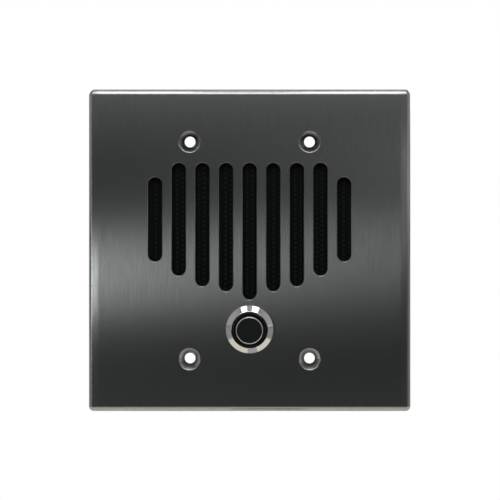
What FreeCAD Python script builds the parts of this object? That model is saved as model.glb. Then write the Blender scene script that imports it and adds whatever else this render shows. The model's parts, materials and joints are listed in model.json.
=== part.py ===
import FreeCAD, Part
import math
import operator
import os
import Sketcher

# Door intercom station for a two-gang wall box: a square stainless plate with speech slots, a
# loudspeaker and a microphone behind a perforated screen, a push button, and the board that they
# are wired to. The plate carries everything: its welded studs hold the speaker clamp and the board.
#
# Frame: +X is right, +Z is up and the front faces -Y. The origin is the centre of the four wall
# screws on the back face of the plate. Lengths are millimetres, and depth means +Y.

SIZES = {
    # faceplate
    "plate_side": 123.8,
    "plate_thick": 3.0,
    "plate_corner_round": 2.0,
    "plate_edge_round": 1.7,
    "slot_width": 5.2,
    "slot_pitch": 9.07,
    "slot_top": 33.5,
    "end_slot_top": 28.0,
    "centre_slot_drop": 18.9,
    "second_slot_drop": 15.7,
    "third_slot_drop": 13.8,
    "fourth_slot_drop": 9.7,
    "end_slot_drop": 4.3,
    "slot_edge_break": 0.3,
    "wall_screw_spacing_x": 46.04,
    "wall_screw_spacing_z": 83.34,
    "wall_screw_hole": 4.2,
    "countersink_dia": 8.0,
    "countersink_angle": 82.0,
    # foam frame between the plate and the wall
    "wall_gasket_inset": 1.9,
    "wall_gasket_width": 8.0,
    "wall_gasket_thick": 1.5,
    "wall_gasket_round": 3.0,
    # studs welded to the back of the plate
    "stud_dia": 3.0,
    "stud_entry": 3.8,
    "stud_base_dia": 4.6,
    "stud_base_thick": 0.7,
    "stud_inset": 3.5,
    # perforated screen behind the slots
    "screen_thick": 0.6,
    "screen_margin": 3.5,
    "screen_round": 2.5,
    "screen_stud_gap": 0.4,
    # speaker: foam ring, pressed basket, moving cone and magnet
    "speaker_dia": 57.0,
    "foam_ring_width": 3.8,
    "foam_ring_thick": 3.0,
    "surround_thick": 0.4,
    "surround_roll": 2.0,
    "surround_roll_sheet": 0.3,
    "surround_roll_gap": 0.2,
    "surround_lip_inset": 0.5,
    "cone_lip_width": 1.2,
    "basket_sheet": 0.7,
    "basket_mouth_dia": 49.8,
    "basket_shoulder_in": 0.8,
    "basket_shoulder_depth": 1.7,
    "basket_ledge_dia": 31.2,
    "basket_ledge_depth": 6.1,
    "basket_cup_dia": 24.8,
    "basket_cup_depth": 8.4,
    "basket_hole_gap": 0.25,
    "basket_window_inner": 33.6,
    "basket_window_outer": 44.4,
    "basket_window_angle": 54.0,
    "cone_paper": 0.5,
    "cone_depth": 4.7,
    "dust_cap_dia": 16.0,
    "dust_cap_rise": 2.4,
    "dust_cap_thick": 0.3,
    "former_dia": 13.0,
    "former_wall": 0.2,
    "former_length": 7.1,
    "winding_thick": 0.4,
    "winding_length": 3.4,
    "glue_line": 0.05,
    "magnet_gap": 0.4,
    "spider_thick": 0.3,
    "spider_wave": 0.45,
    "spider_rim_gap": 0.4,
    "pole_plate_thick": 1.5,
    "pole_plate_dia": 31.0,
    "magnet_dia": 32.0,
    "magnet_bore": 17.0,
    "magnet_thick": 5.0,
    "magnet_break": 0.5,
    "pole_vent_dia": 3.0,
    # terminal strip of the speaker
    "tag_strip_width": 10.0,
    "tag_strip_reach": 20.0,
    "tag_strip_thick": 1.0,
    "lug_width": 2.0,
    "lug_thick": 0.3,
    "lug_spacing": 5.0,
    "lug_reach": 22.5,
    "lug_length": 5.0,
    "eyelet_dia": 2.0,
    # ring that clamps the speaker to the studs
    "clamp_thick": 1.0,
    "clamp_bore_gap": 0.8,
    "clamp_overhang": 1.0,
    "clamp_arm_width": 6.5,
    "clamp_eye_dia": 8.0,
    "stud_hole_gap": 0.2,
    # spacers, board and its screws
    "standoff_length": 8.0,
    "standoff_flats": 5.5,
    "thread_gap": 0.05,
    "board_width": 88.0,
    "board_height": 36.0,
    "board_nut_gap": 0.7,
    "board_thick": 1.6,
    "board_round": 2.0,
    "board_cutout_gap": 2.0,
    "solder_gap": 0.15,
    "washer_dia": 6.0,
    "washer_thick": 0.7,
    "board_screw_entry": 3.2,
    "board_screw_head_dia": 5.6,
    "board_screw_head": 2.2,
    "board_screw_dome": 0.7,
    "recess_length": 3.2,
    "recess_width": 0.8,
    "recess_depth": 1.2,
    # terminal block for the wires from the house
    "block_pitch": 5.08,
    "block_end_wall": 0.7,
    "block_wall": 1.8,
    "block_edge_gap": 0.6,
    "block_round": 0.4,
    "chamber_width": 4.3,
    "chamber_length": 5.0,
    "chamber_floor": 1.2,
    "chamber_roof": 1.8,
    "mouth_width": 3.4,
    "mouth_tall": 4.0,
    "cage_play": 0.15,
    "cage_end_play": 0.3,
    "cage_rise": 1.5,
    "cage_tall": 5.6,
    "cage_side": 0.7,
    "cage_roof": 1.2,
    "cage_gap": 0.2,
    "bar_width": 2.2,
    "bar_thick": 0.8,
    "bar_gap": 0.1,
    "pin_side": 0.9,
    "pin_reach": 3.0,
    "clamp_screw_dia": 2.5,
    "clamp_screw_head_dia": 3.5,
    "clamp_screw_head": 1.0,
    "clamp_screw_slot": 0.6,
    "clamp_screw_slot_deep": 0.5,
    "clamp_screw_well_gap": 0.15,
    "clamp_screw_sink": 0.6,
    # trimmer for the speech level
    "trimmer_side": 6.8,
    "trimmer_tall": 4.6,
    "trimmer_edge_gap": 6.0,
    "trimmer_rise": 15.0,
    "trimmer_round": 0.4,
    "rotor_dia": 4.8,
    "rotor_gap": 0.15,
    "rotor_thick": 1.1,
    "rotor_sink": 0.1,
    "rotor_slot": 0.7,
    "rotor_slot_length": 3.4,
    "rotor_slot_deep": 0.6,
    # other board parts
    "capacitor_dia": 8.0,
    "capacitor_tall": 11.5,
    "capacitor_pitch": 9.4,
    "capacitor_inset": 12.6,
    "capacitor_from_top": 6.2,
    "capacitor_bead": 1.6,
    "capacitor_groove": 0.4,
    "transformer_inset": 18.0,
    "transformer_from_top": 6.0,
    "core_width": 14.0,
    "core_tall": 11.0,
    "core_stack": 5.0,
    "core_limb": 2.4,
    "core_centre_limb": 3.6,
    "coil_margin": 0.3,
    "coil_bulge": 2.6,
    "chip_length": 4.9,
    "chip_width": 3.9,
    "chip_thick": 1.5,
    "chip_inset": 18.0,
    "chip_rise": 6.0,
    "leg_pitch": 1.27,
    "leg_width": 0.4,
    "leg_thick": 0.2,
    "leg_reach": 1.0,
    "small_part_length": 2.0,
    "small_part_width": 1.2,
    "small_part_thick": 0.6,
    "small_part_pitch": 3.2,
    # microphone behind the left end slot
    "microphone_dia": 9.7,
    "microphone_long": 6.5,
    "microphone_set_back": 1.4,
    "microphone_rise": 10.5,
    "microphone_clamp_gap": 2.27,
    "microphone_port": 2.0,
    "boot_wall": 1.1,
    "boot_lip": 1.6,
    "microphone_pin_dia": 0.6,
    "microphone_pin_spacing": 2.54,
    # push button
    "button_drop": 30.2,
    "barrel_dia": 16.0,
    "bezel_flange": 1.1,
    "bezel_tall": 1.7,
    "bezel_land": 0.4,
    "bezel_rim": 0.25,
    "bezel_bore_depth": 4.15,
    "barrel_length": 17.0,
    "barrel_wall": 1.4,
    "barrel_hole_gap": 0.1,
    "thread_chamfer": 0.6,
    "web_thick": 1.0,
    "button_seal_thick": 0.4,
    "button_seal_width": 0.9,
    "ring_gap": 0.05,
    "ring_bore_gap": 0.15,
    "ring_width": 1.3,
    "ring_crest_in": 0.6,
    "ring_crest": 0.45,
    "ring_crest_flat": 0.2,
    "ring_set_back": 0.3,
    "plunger_proud": 1.8,
    "plunger_chamfer": 0.6,
    "plunger_collar_gap": 0.4,
    "plunger_collar_width": 0.85,
    "plunger_collar": 0.8,
    "plunger_rest_gap": 0.1,
    "plunger_stem_dia": 3.6,
    "wiper_thick": 0.6,
    "wiper_gap": 0.1,
    "button_travel": 1.75,
    "contact_clear": 0.05,
    "contact_reach": 1.0,
    "contact_disc_thick": 0.4,
    "contact_disc_depth": 8.0,
    "blade_spacing": 5.2,
    "blade_width": 2.0,
    "blade_thick": 0.5,
    "blade_length": 12.0,
    "base_depth": 12.0,
    "base_gap": 0.05,
    "base_flange_inset": 0.6,
    "base_flange": 2.6,
    "spring_contact_gap": 1.0,
    "spring_wire": 0.6,
    "spring_turns": 4.5,
    "nut_wall": 1.5,
    "nut_thick": 2.5,
    "nut_chamfer": 0.5,
    "lock_washer_width": 1.25,
    "lock_washer_thick": 0.8,
    "lock_tooth_width": 1.6,
    "lock_tooth_deep": 0.7,
    # insulated leads inside
    "lead_dia": 1.0,
    "speaker_lead_inset": 6.7,
    "speaker_lead_sag": 3.9,
    "button_lead_rise": 4.8,
    "button_lead_loop": 8.4,
    "button_lead_spread": 1.2,
}

LOCK_TEETH = 10
BASKET_WINDOWS = 4
SPIDER_WAVES = 3
ROLL_CHORDS = 5
DOME_CHORDS = 3
TERMINAL_POLES = 4
CAPACITORS = 2
CHIP_LEGS_PER_SIDE = 4
SMALL_PARTS = 4

HALF_TURN = 180
FULL_TURN = 2 * HALF_TURN
OPERATIONS = {"+": operator.add, "-": operator.sub, "*": operator.mul, "/": operator.truediv}
V_AXIS, H_AXIS = range(-2, 0)
START, END, CENTRE = range(1, 4)
ORIGIN = (H_AXIS, START)


class Size:
    """A number together with the formula that ties it to the sheet."""

    def __init__(self, value, formula):
        self.value = float(value)
        self.formula = formula

    def __float__(self):
        return self.value

    def __neg__(self):
        return Size(-self.value, "-(%s)" % self.formula)

    def __add__(self, other):
        return combined(self, "+", other)

    def __radd__(self, other):
        return combined(other, "+", self)

    def __sub__(self, other):
        return combined(self, "-", other)

    def __rsub__(self, other):
        return combined(other, "-", self)

    def __mul__(self, other):
        return combined(self, "*", other)

    def __rmul__(self, other):
        return combined(other, "*", self)

    def __truediv__(self, other):
        return combined(self, "/", other)


def formula_of(size):
    return size.formula if isinstance(size, Size) else repr(float(size))


def combined(left, sign, right):
    value = OPERATIONS[sign](float(left), float(right))
    return Size(value, "(%s %s %s)" % (formula_of(left), sign, formula_of(right)))


def root(size):
    return Size(math.sqrt(float(size)), "sqrt(%s)" % formula_of(size))


def cosine(angle):
    return Size(math.cos(math.radians(float(angle))), "cos(%s)" % formula_of(angle))


def sine(angle):
    return Size(math.sin(math.radians(float(angle))), "sin(%s)" % formula_of(angle))


class Sheet:
    """The spreadsheet of driving dimensions. Each is read back as an attribute."""

    def __init__(self, table):
        sheet = doc.addObject("Spreadsheet::Sheet", "sizes")
        for row, (name, value) in enumerate(table.items(), 1):
            sheet.set("A%d" % row, name)
            sheet.set("B%d" % row, str(value))
            sheet.setAlias("B%d" % row, name)
            setattr(self, name, Size(value, "sizes." + name))
        doc.recompute()


doc = FreeCAD.newDocument("door_station")
s = Sheet(SIZES)
parts = []


def bind(thing, path, size):
    thing.setExpression(path, formula_of(size))


def new_body(label, x=0, depth=0, z=0):
    """Body of one sub-part, placed in the frame."""
    body = doc.addObject("PartDesign::Body", label)
    body.Label = label
    bind(body, ".Placement.Base.x", x)
    bind(body, ".Placement.Base.y", depth)
    bind(body, ".Placement.Base.z", z)
    parts.append(body)
    return body


def origin_feature(body, role):
    return [feature for feature in body.Origin.OriginFeatures if feature.Role == role][0]


def sketch(body, name, plane="XZ_Plane", depth=0):
    """Sketch on a plane of the body. On XZ it reads x and z, and lies that deep."""
    drawing = body.newObject("Sketcher::SketchObject", name)
    drawing.AttachmentSupport = [(origin_feature(body, plane), "")]
    drawing.MapMode = "FlatFace"
    bind(drawing, "AttachmentOffset.Base.z", -depth)
    return drawing


def side_sketch(body, name, x=0):
    """Sketch on the YZ plane, x to the right of it. It reads depth and z."""
    return sketch(body, name, "YZ_Plane", -x)


def dimension(drawing, kind, *where):
    """Add a dimension whose last value is a size, and tie it to the sheet."""
    size = where[-1]
    row = drawing.addConstraint(Sketcher.Constraint(kind, *where[:-1], float(size)))
    drawing.setExpression("Constraints[%d]" % row, formula_of(size))


def locate(drawing, index, vertex, x, y):
    """Dimension one vertex from the sketch's origin."""
    for kind, size, axis in (("DistanceX", x, V_AXIS), ("DistanceY", y, H_AXIS)):
        if not isinstance(size, Size) and size == 0:
            drawing.addConstraint(Sketcher.Constraint("PointOnObject", index, vertex, axis))
        else:
            dimension(drawing, kind, *ORIGIN, index, vertex, size)


def circle(drawing, x, y, diameter):
    centre = FreeCAD.Vector(float(x), float(y), 0)
    ring = Part.Circle(centre, FreeCAD.Vector(0, 0, 1), float(diameter) / 2)
    index = drawing.addGeometry(ring, False)
    locate(drawing, index, CENTRE, x, y)
    dimension(drawing, "Diameter", index, diameter)


def arc_between(start, end, centre, turn):
    """Arc from start to end about centre, turning left for 1 and right for -1."""
    first, last = (start, end) if turn > 0 else (end, start)
    angles = [math.atan2(p.y - centre.y, p.x - centre.x) for p in (first, last)]
    ring = Part.Circle(centre, FreeCAD.Vector(0, 0, 1), (start - centre).Length)
    return Part.ArcOfCircle(ring, angles[0], angles[1])


def outline(drawing, corners):
    """Closed outline. A corner (x, y) begins a line, and (x, y, (cx, cy, turn)) an arc about cx, cy."""
    points = [FreeCAD.Vector(float(corner[0]), float(corner[1]), 0) for corner in corners]
    edges = []
    for corner, start, end in zip(corners, points, points[1:] + points[:1]):
        if len(corner) == 2:
            edges.append((drawing.addGeometry(Part.LineSegment(start, end), False), START, END))
            continue
        centre_x, centre_y, turn = corner[2]
        centre = FreeCAD.Vector(float(centre_x), float(centre_y), 0)
        index = drawing.addGeometry(arc_between(start, end, centre, turn), False)
        edges.append((index, START, END) if turn > 0 else (index, END, START))
    for here, after in zip(edges, edges[1:] + edges[:1]):
        drawing.addConstraint(Sketcher.Constraint("Coincident", here[0], here[2], after[0], after[1]))
    for corner, edge in zip(corners, edges):
        locate(drawing, edge[0], edge[1], corner[0], corner[1])
    for corner, edge, start, end in zip(corners, edges, points, points[1:] + points[:1]):
        if len(corner) == 2:
            continue
        if abs(start.y - end.y) < abs(start.x - end.x):
            dimension(drawing, "DistanceY", *ORIGIN, edge[0], CENTRE, corner[2][1])
        else:
            dimension(drawing, "DistanceX", *ORIGIN, edge[0], CENTRE, corner[2][0])


def rectangle(drawing, left, right, low, high):
    outline(drawing, [(left, low), (right, low), (right, high), (left, high)])


def rounded_rectangle(drawing, left, right, low, high, radius):
    outline(drawing, [
        (left + radius, low),
        (right - radius, low, (right - radius, low + radius, 1)),
        (right, low + radius),
        (right, high - radius, (right - radius, high - radius, 1)),
        (right - radius, high),
        (left + radius, high, (left + radius, high - radius, 1)),
        (left, high - radius),
        (left, low + radius, (left + radius, low + radius, 1)),
    ])


def round_slot(drawing, x, high, low, width):
    """Upright slot with fully round ends."""
    radius = width / 2
    outline(drawing, [
        (x - radius, low + radius, (x, low + radius, 1)),
        (x + radius, low + radius),
        (x + radius, high - radius, (x, high - radius, 1)),
        (x - radius, high - radius),
    ])


def hexagon(drawing, x, z, flats):
    """Hexagon with flats above and below."""
    reach = flats / math.sqrt(3)
    outline(drawing, [
        (x + reach, z),
        (x + reach / 2, z + flats / 2),
        (x - reach / 2, z + flats / 2),
        (x - reach, z),
        (x - reach / 2, z - flats / 2),
        (x + reach / 2, z - flats / 2),
    ])


def pad(body, name, drawing, thick):
    """Pad that grows backwards, to +Y, from a sketch on XZ."""
    feature = body.newObject("PartDesign::Pad", name)
    feature.Profile = drawing
    feature.Reversed = True
    bind(feature, "Length", thick)
    return feature


def side_pad(body, name, drawing, length):
    """Pad that grows to +X from a sketch on YZ."""
    feature = pad(body, name, drawing, length)
    feature.Reversed = False
    return feature


def cut(body, name, drawing, deep=None, forwards=False):
    """Pocket that cuts backwards, or forwards. With no depth it goes right through."""
    feature = body.newObject("PartDesign::Pocket", name)
    feature.Profile = drawing
    feature.Reversed = forwards
    if deep is None:
        feature.Type = "ThroughAll"
    else:
        bind(feature, "Length", deep)
    return feature


def turn(body, name, corners):
    """Solid of revolution about the body's Y axis from corners (radius, depth)."""
    drawing = sketch(body, name + "_profile", "XY_Plane")
    outline(drawing, corners)
    feature = body.newObject("PartDesign::Revolution", name)
    feature.Profile = drawing
    feature.ReferenceAxis = (drawing, ["V_Axis"])
    feature.Angle = FULL_TURN
    return feature


def tube(body, name, inner, outer, front, back):
    """Plain ring between two diameters and two depths."""
    return turn(body, name, [
        (inner / 2, front), (outer / 2, front), (outer / 2, back), (inner / 2, back),
    ])


def around(body, name, features, count):
    """Repeat cuts about the body's Y axis."""
    pattern = body.newObject("PartDesign::PolarPattern", name)
    pattern.Originals = features
    pattern.Axis = (origin_feature(body, "Y_Axis"), [""])
    pattern.Angle = FULL_TURN
    pattern.Occurrences = count
    body.Tip = pattern
    return pattern


def in_line(body, name, features, axis, pitch, count):
    """Repeat features along one of the body's axes."""
    pattern = body.newObject("PartDesign::LinearPattern", name)
    pattern.Originals = features
    pattern.Direction = (origin_feature(body, axis), [""])
    bind(pattern, "Length", pitch * (count - 1))
    pattern.Occurrences = count
    body.Tip = pattern
    return pattern


def dress(body, kind, name, feature, wanted, size):
    """Fillet or chamfer of the edges of a feature that a test picks."""
    doc.recompute()
    picked = ["Edge%d" % (i + 1) for i, edge in enumerate(feature.Shape.Edges) if wanted(edge)]
    if not picked:
        raise RuntimeError("no edge picked for %s of %s" % (name, body.Label))
    dressing = body.newObject("PartDesign::" + kind, name)
    dressing.Base = (feature, picked)
    bind(dressing, "Radius" if kind == "Fillet" else "Size", size)
    return dressing


def lies_at(edge, depth):
    return all(abs(vertex.Y - float(depth)) < 1e-6 for vertex in edge.Vertexes)


def runs_deep(edge):
    ends = edge.Vertexes
    return len(ends) == 2 and abs(ends[0].Y - ends[1].Y) > 1e-6


# Depths and places that several pieces share
plate_front = -s.plate_thick
foam_ring_back = s.screen_thick + s.foam_ring_thick
basket_face = foam_ring_back + s.surround_thick
basket_back = s.basket_cup_depth + s.basket_sheet
clamp_face = basket_face + s.basket_sheet
clamp_back = clamp_face + s.clamp_thick
board_face = clamp_back + s.standoff_length
board_back = board_face + s.board_thick
stud_hole = s.stud_dia + 2 * s.stud_hole_gap

# The board's edges, and the studs a little inside its corners
nut_flats = s.barrel_dia + 2 * s.nut_wall
board_side = s.board_width / 2
board_low = s.board_nut_gap + nut_flats / 2 - s.button_drop
stud_x = board_side - s.stud_inset
stud_low = board_low + s.stud_inset
stud_high = s.board_height - s.stud_inset
stud_places = [(side * stud_x, height) for side in (-1, 1) for height in (stud_high, stud_low)]

# The speaker's rim is level with the board's lower edge. The microphone is just clear of the
# speaker's clamp, and the end slots are in front of it and of its mirror image.
speaker_height = board_low + s.speaker_dia / 2
microphone_z = speaker_height + s.microphone_rise
boot_radius = s.microphone_dia / 2 + s.glue_line + s.boot_wall
microphone_reach = s.speaker_dia / 2 + s.clamp_overhang + s.microphone_clamp_gap + boot_radius
end_slot_x = root(microphone_reach * microphone_reach - s.microphone_rise * s.microphone_rise)

# Radii and widths that fit into one another, in the speaker, the terminal block and the button
roll_middle = s.speaker_dia / 2 - s.foam_ring_width - s.surround_roll_gap - s.surround_roll
gap_bore = s.former_dia + 2 * (s.glue_line + s.winding_thick + s.magnet_gap)
basket_hole = gap_bore / 2 + s.basket_hole_gap
clamp_bore = s.basket_mouth_dia + 2 * s.clamp_bore_gap
block_right = board_side - s.block_edge_gap
block_depth = s.chamber_length + 2 * s.block_wall
cage_low = s.chamber_floor + s.cage_gap
chamber_top = cage_low + s.cage_tall + s.cage_rise + s.cage_gap
block_tall = chamber_top + s.chamber_roof
barrel_bore = s.barrel_dia - 2 * s.barrel_wall
collar_dia = barrel_bore - 2 * s.plunger_collar_gap
plunger_dia = collar_dia - 2 * s.plunger_collar_width
ring_bore = plunger_dia + 2 * s.ring_bore_gap
bezel_bore = ring_bore + 2 * s.ring_width
contact_disc_dia = s.blade_spacing + 2 * s.contact_reach


def speaker_body(label):
    """Body whose own origin is the centre of the speaker's front flange."""
    return new_body(label, depth=basket_face, z=speaker_height)


def board_body(label, x, z):
    """Body whose own origin is on the back face of the board."""
    return new_body(label, x=x, depth=board_back, z=z)


def button_body(label):
    """Body whose own origin is on the button's axis, in the plate's front face."""
    return new_body(label, depth=plate_front, z=-s.button_drop)


def faceplate():
    body = new_body("faceplate")
    half = s.plate_side / 2
    square = sketch(body, "square", depth=plate_front)
    rectangle(square, -half, half, -half, half)
    plate = pad(body, "plate", square, s.plate_thick)
    corners = dress(body, "Fillet", "corners", plate, runs_deep, s.plate_corner_round)
    dress(
        body, "Fillet", "front_edge", corners, lambda edge: lies_at(edge, plate_front), s.plate_edge_round
    )

    drops = (
        s.centre_slot_drop, s.second_slot_drop, s.third_slot_drop, s.fourth_slot_drop, s.end_slot_drop
    )
    last = len(drops) - 1
    openings = sketch(body, "slots", depth=plate_front)
    for step in range(1 - last, last):
        round_slot(openings, step * s.slot_pitch, s.slot_top, -drops[abs(step)], s.slot_width)
    for side in (-1, 1):
        round_slot(openings, side * end_slot_x, s.end_slot_top, -drops[last], s.slot_width)
    slots = cut(body, "speech_slots", openings)

    def on_slot_edge(edge):
        middle = edge.CenterOfMass
        beside = abs(middle.x) < float(end_slot_x) + float(s.slot_width)
        return lies_at(edge, plate_front) and beside and abs(middle.z) < float(s.slot_top)

    dress(body, "Chamfer", "slot_edges", slots, on_slot_edge, s.slot_edge_break)

    button = sketch(body, "button_place", depth=plate_front)
    circle(button, 0, -s.button_drop, s.barrel_dia + 2 * s.barrel_hole_gap)
    cut(body, "button_hole", button)

    places = sketch(body, "wall_screw_places", depth=plate_front)
    for x in (-s.wall_screw_spacing_x / 2, s.wall_screw_spacing_x / 2):
        for z in (-s.wall_screw_spacing_z / 2, s.wall_screw_spacing_z / 2):
            circle(places, x, z, s.wall_screw_hole)
    doc.recompute()
    holes = body.newObject("PartDesign::Hole", "wall_screw_holes")
    holes.Profile = places
    holes.ThreadType = "None"
    holes.DepthType = "ThroughAll"
    holes.HoleCutType = "Countersink"
    holes.HoleCutCustomValues = True
    bind(holes, "Diameter", s.wall_screw_hole)
    bind(holes, "HoleCutDiameter", s.countersink_dia)
    bind(holes, "HoleCutCountersinkAngle", s.countersink_angle)


def wall_gasket():
    """Foam frame that seals the plate to the wall."""
    body = new_body("wall_gasket")
    outer = s.plate_side / 2 - s.wall_gasket_inset
    inner = outer - s.wall_gasket_width
    frame = sketch(body, "frame")
    rounded_rectangle(frame, -outer, outer, -outer, outer, s.wall_gasket_round)
    rectangle(frame, -inner, inner, -inner, inner)
    pad(body, "foam", frame, s.wall_gasket_thick)


def weld_studs():
    body = new_body("weld_studs")
    bases = sketch(body, "bases")
    shanks = sketch(body, "shanks")
    for x, z in stud_places:
        circle(bases, x, z, s.stud_base_dia)
        circle(shanks, x, z, s.stud_dia)
    pad(body, "weld_bases", bases, s.stud_base_thick)
    pad(body, "threads", shanks, clamp_back + s.stud_entry)


def grille_screen():
    """Sheet behind the slots. Its fine perforation isn't cut here."""
    body = new_body("grille_screen")
    margin = s.screen_margin
    sheet = sketch(body, "sheet")
    rounded_rectangle(
        sheet, -stud_x - margin, stud_x + margin, stud_low - margin, stud_high + margin, s.screen_round
    )
    for x, z in stud_places:
        circle(sheet, x, z, s.stud_base_dia + 2 * s.screen_stud_gap)
    pad(body, "screen", sheet, s.screen_thick)


def speaker_gasket():
    body = new_body("speaker_gasket", depth=s.screen_thick, z=speaker_height)
    tube(body, "foam", s.speaker_dia - 2 * s.foam_ring_width, s.speaker_dia, 0, s.foam_ring_thick)


def speaker_basket():
    """Pressed steel frame: flange, sloping wall with windows, ledge for the spider, and cup."""
    body = speaker_body("speaker_basket")
    sheet = s.basket_sheet
    shoulder = s.basket_mouth_dia / 2 - s.basket_shoulder_in
    turn(body, "pressing", [
        (basket_hole, s.basket_cup_depth),
        (s.basket_cup_dia / 2, s.basket_cup_depth),
        (s.basket_cup_dia / 2, s.basket_ledge_depth),
        (s.basket_ledge_dia / 2, s.basket_ledge_depth),
        (shoulder, s.basket_shoulder_depth),
        (s.basket_mouth_dia / 2, 0),
        (s.speaker_dia / 2, 0),
        (s.speaker_dia / 2, sheet),
        (s.basket_mouth_dia / 2 + sheet / 2, sheet),
        (shoulder + sheet, s.basket_shoulder_depth + sheet / 2),
        (s.basket_ledge_dia / 2 + sheet / 2, s.basket_ledge_depth + sheet),
        (s.basket_cup_dia / 2 + sheet, s.basket_ledge_depth + sheet),
        (s.basket_cup_dia / 2 + sheet, basket_back),
        (basket_hole, basket_back),
    ])
    edge = HALF_TURN / BASKET_WINDOWS - s.basket_window_angle / 2
    across, along = sine(edge), cosine(edge)
    inner, outer = s.basket_window_inner / 2, s.basket_window_outer / 2
    opening = sketch(body, "window_shape")
    outline(opening, [
        (inner * along, inner * across),
        (outer * along, outer * across, (0, 0, 1)),
        (outer * across, outer * along),
        (inner * across, inner * along, (0, 0, -1)),
    ])
    window = cut(body, "window", opening)
    around(body, "windows", [window], BASKET_WINDOWS)


def cone_front(radius):
    """Depth of the cone's front face at a radius."""
    outer = roll_middle - s.surround_roll - s.cone_lip_width
    inner = s.former_dia / 2 + s.glue_line
    return s.cone_depth * (outer - radius) / (outer - inner)


def speaker_cone():
    body = speaker_body("speaker_cone")
    rim = roll_middle - s.surround_roll
    lip = rim - s.cone_lip_width
    neck = s.former_dia / 2 + s.glue_line
    turn(body, "paper", [
        (neck, s.cone_depth),
        (lip, 0),
        (rim, 0),
        (rim, s.cone_paper),
        (lip, s.cone_paper),
        (neck, s.cone_depth + s.cone_paper),
    ])


def speaker_surround():
    """Half roll that carries the cone, glued to the flange outside and to the cone's lip inside."""
    body = speaker_body("speaker_surround")
    lip, sheet = s.speaker_dia / 2 - s.surround_lip_inset, s.surround_thick
    radius = s.surround_roll
    outer = roll_chords(radius, -sheet, 1)
    inner = roll_chords(radius - s.surround_roll_sheet, 0, -1)
    rim = roll_middle - radius - s.cone_lip_width
    turn(body, "roll", [(lip, -sheet)] + outer + [(rim, -sheet), (rim, 0)] + inner + [(lip, 0)])


def roll_chords(radius, depth, way):
    """Points of the half roll, outside to inside for way 1, and back for way -1."""
    angles = [HALF_TURN * step / ROLL_CHORDS for step in range(ROLL_CHORDS + 1)][::way]
    return [(roll_middle + radius * cosine(angle), depth - radius * sine(angle)) for angle in angles]


def dust_cap():
    """Dome over the voice coil. Its rim stands on the cone."""
    body = speaker_body("dust_cap")
    rim, sheet = s.dust_cap_dia / 2, s.dust_cap_thick
    rise = s.dust_cap_rise
    radius = (rim * rim + rise * rise) / (2 * rise)
    back = cone_front(rim)
    outer = []
    for step in range(DOME_CHORDS + 1):
        away = rim * step / DOME_CHORDS
        outer.append((away, back - rise + radius - root(radius * radius - away * away)))
    inner = [(away, depth + sheet) for away, depth in outer[:-1]]
    turn(body, "dome", outer + [(rim - sheet, cone_front(rim - sheet))] + inner[::-1])


def voice_coil_former():
    body = speaker_body("voice_coil_former")
    tube(body, "paper_tube", s.former_dia - 2 * s.former_wall, s.former_dia,
         s.cone_depth, s.cone_depth + s.former_length)


def voice_coil():
    """Copper winding at the end of its former, centred in the gap of the magnet."""
    body = speaker_body("voice_coil")
    inner = s.former_dia + 2 * s.glue_line
    end = s.cone_depth + s.former_length
    tube(body, "winding", inner, inner + 2 * s.winding_thick, end - s.winding_length, end)


def speaker_spider():
    """Corrugated ring that centres the coil. Its rim is glued to the ledge of the basket."""
    body = speaker_body("speaker_spider")
    inner = s.former_dia / 2 + s.glue_line
    outer = s.basket_cup_dia / 2
    middle = s.basket_ledge_depth - s.spider_thick
    steps = 2 * SPIDER_WAVES
    front = [(inner, middle)]
    for step in range(1, steps):
        swing = s.spider_wave if step % 2 else -s.spider_wave
        front.append((inner + (outer - inner) * step / steps, middle + swing))
    front += [(outer, middle), (s.basket_ledge_dia / 2 - s.spider_rim_gap, middle)]
    back = [(radius, depth + s.spider_thick) for radius, depth in reversed(front)]
    turn(body, "corrugations", front + back)


def speaker_top_plate():
    body = speaker_body("speaker_top_plate")
    tube(body, "washer", gap_bore, s.pole_plate_dia, basket_back, basket_back + s.pole_plate_thick)


def speaker_magnet():
    body = speaker_body("speaker_magnet")
    front = basket_back + s.pole_plate_thick
    back = front + s.magnet_thick
    inner, outer, bevel = s.magnet_bore / 2, s.magnet_dia / 2, s.magnet_break
    turn(body, "ferrite", [
        (inner, front), (outer - bevel, front), (outer, front + bevel),
        (outer, back - bevel), (outer - bevel, back), (inner, back),
    ])


def speaker_yoke():
    """Back plate and vented centre pole, one forging."""
    body = speaker_body("speaker_yoke")
    front = basket_back + s.pole_plate_thick + s.magnet_thick
    back = front + s.pole_plate_thick
    pole = s.former_dia / 2 - s.former_wall - s.magnet_gap
    bevel = s.magnet_break
    vent = s.pole_vent_dia / 2
    turn(body, "forging", [
        (vent, basket_back), (pole - bevel, basket_back), (pole, basket_back + bevel),
        (pole, front), (s.pole_plate_dia / 2, front), (s.pole_plate_dia / 2, back - bevel),
        (s.pole_plate_dia / 2 - bevel, back), (vent, back),
    ])


def tag_strip_front():
    return s.basket_ledge_depth + s.basket_sheet


def speaker_tag_strip():
    """Insulating strip riveted behind the ledge of the basket, out to the left."""
    body = speaker_body("speaker_tag_strip")
    root_end = s.basket_cup_dia / 2 + s.basket_sheet + s.glue_line
    half = s.tag_strip_width / 2
    shape = sketch(body, "strip_shape", depth=tag_strip_front())
    rectangle(shape, -s.tag_strip_reach, -root_end, -half, half)
    for side in (-1, 1):
        circle(shape, -lug_eyelet(), side * s.lug_spacing / 2, s.eyelet_dia)
    pad(body, "strip", shape, s.tag_strip_thick)


def lug_eyelet():
    """Distance of a lug's eyelet from the speaker's axis."""
    return s.lug_reach - s.lug_length


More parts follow.
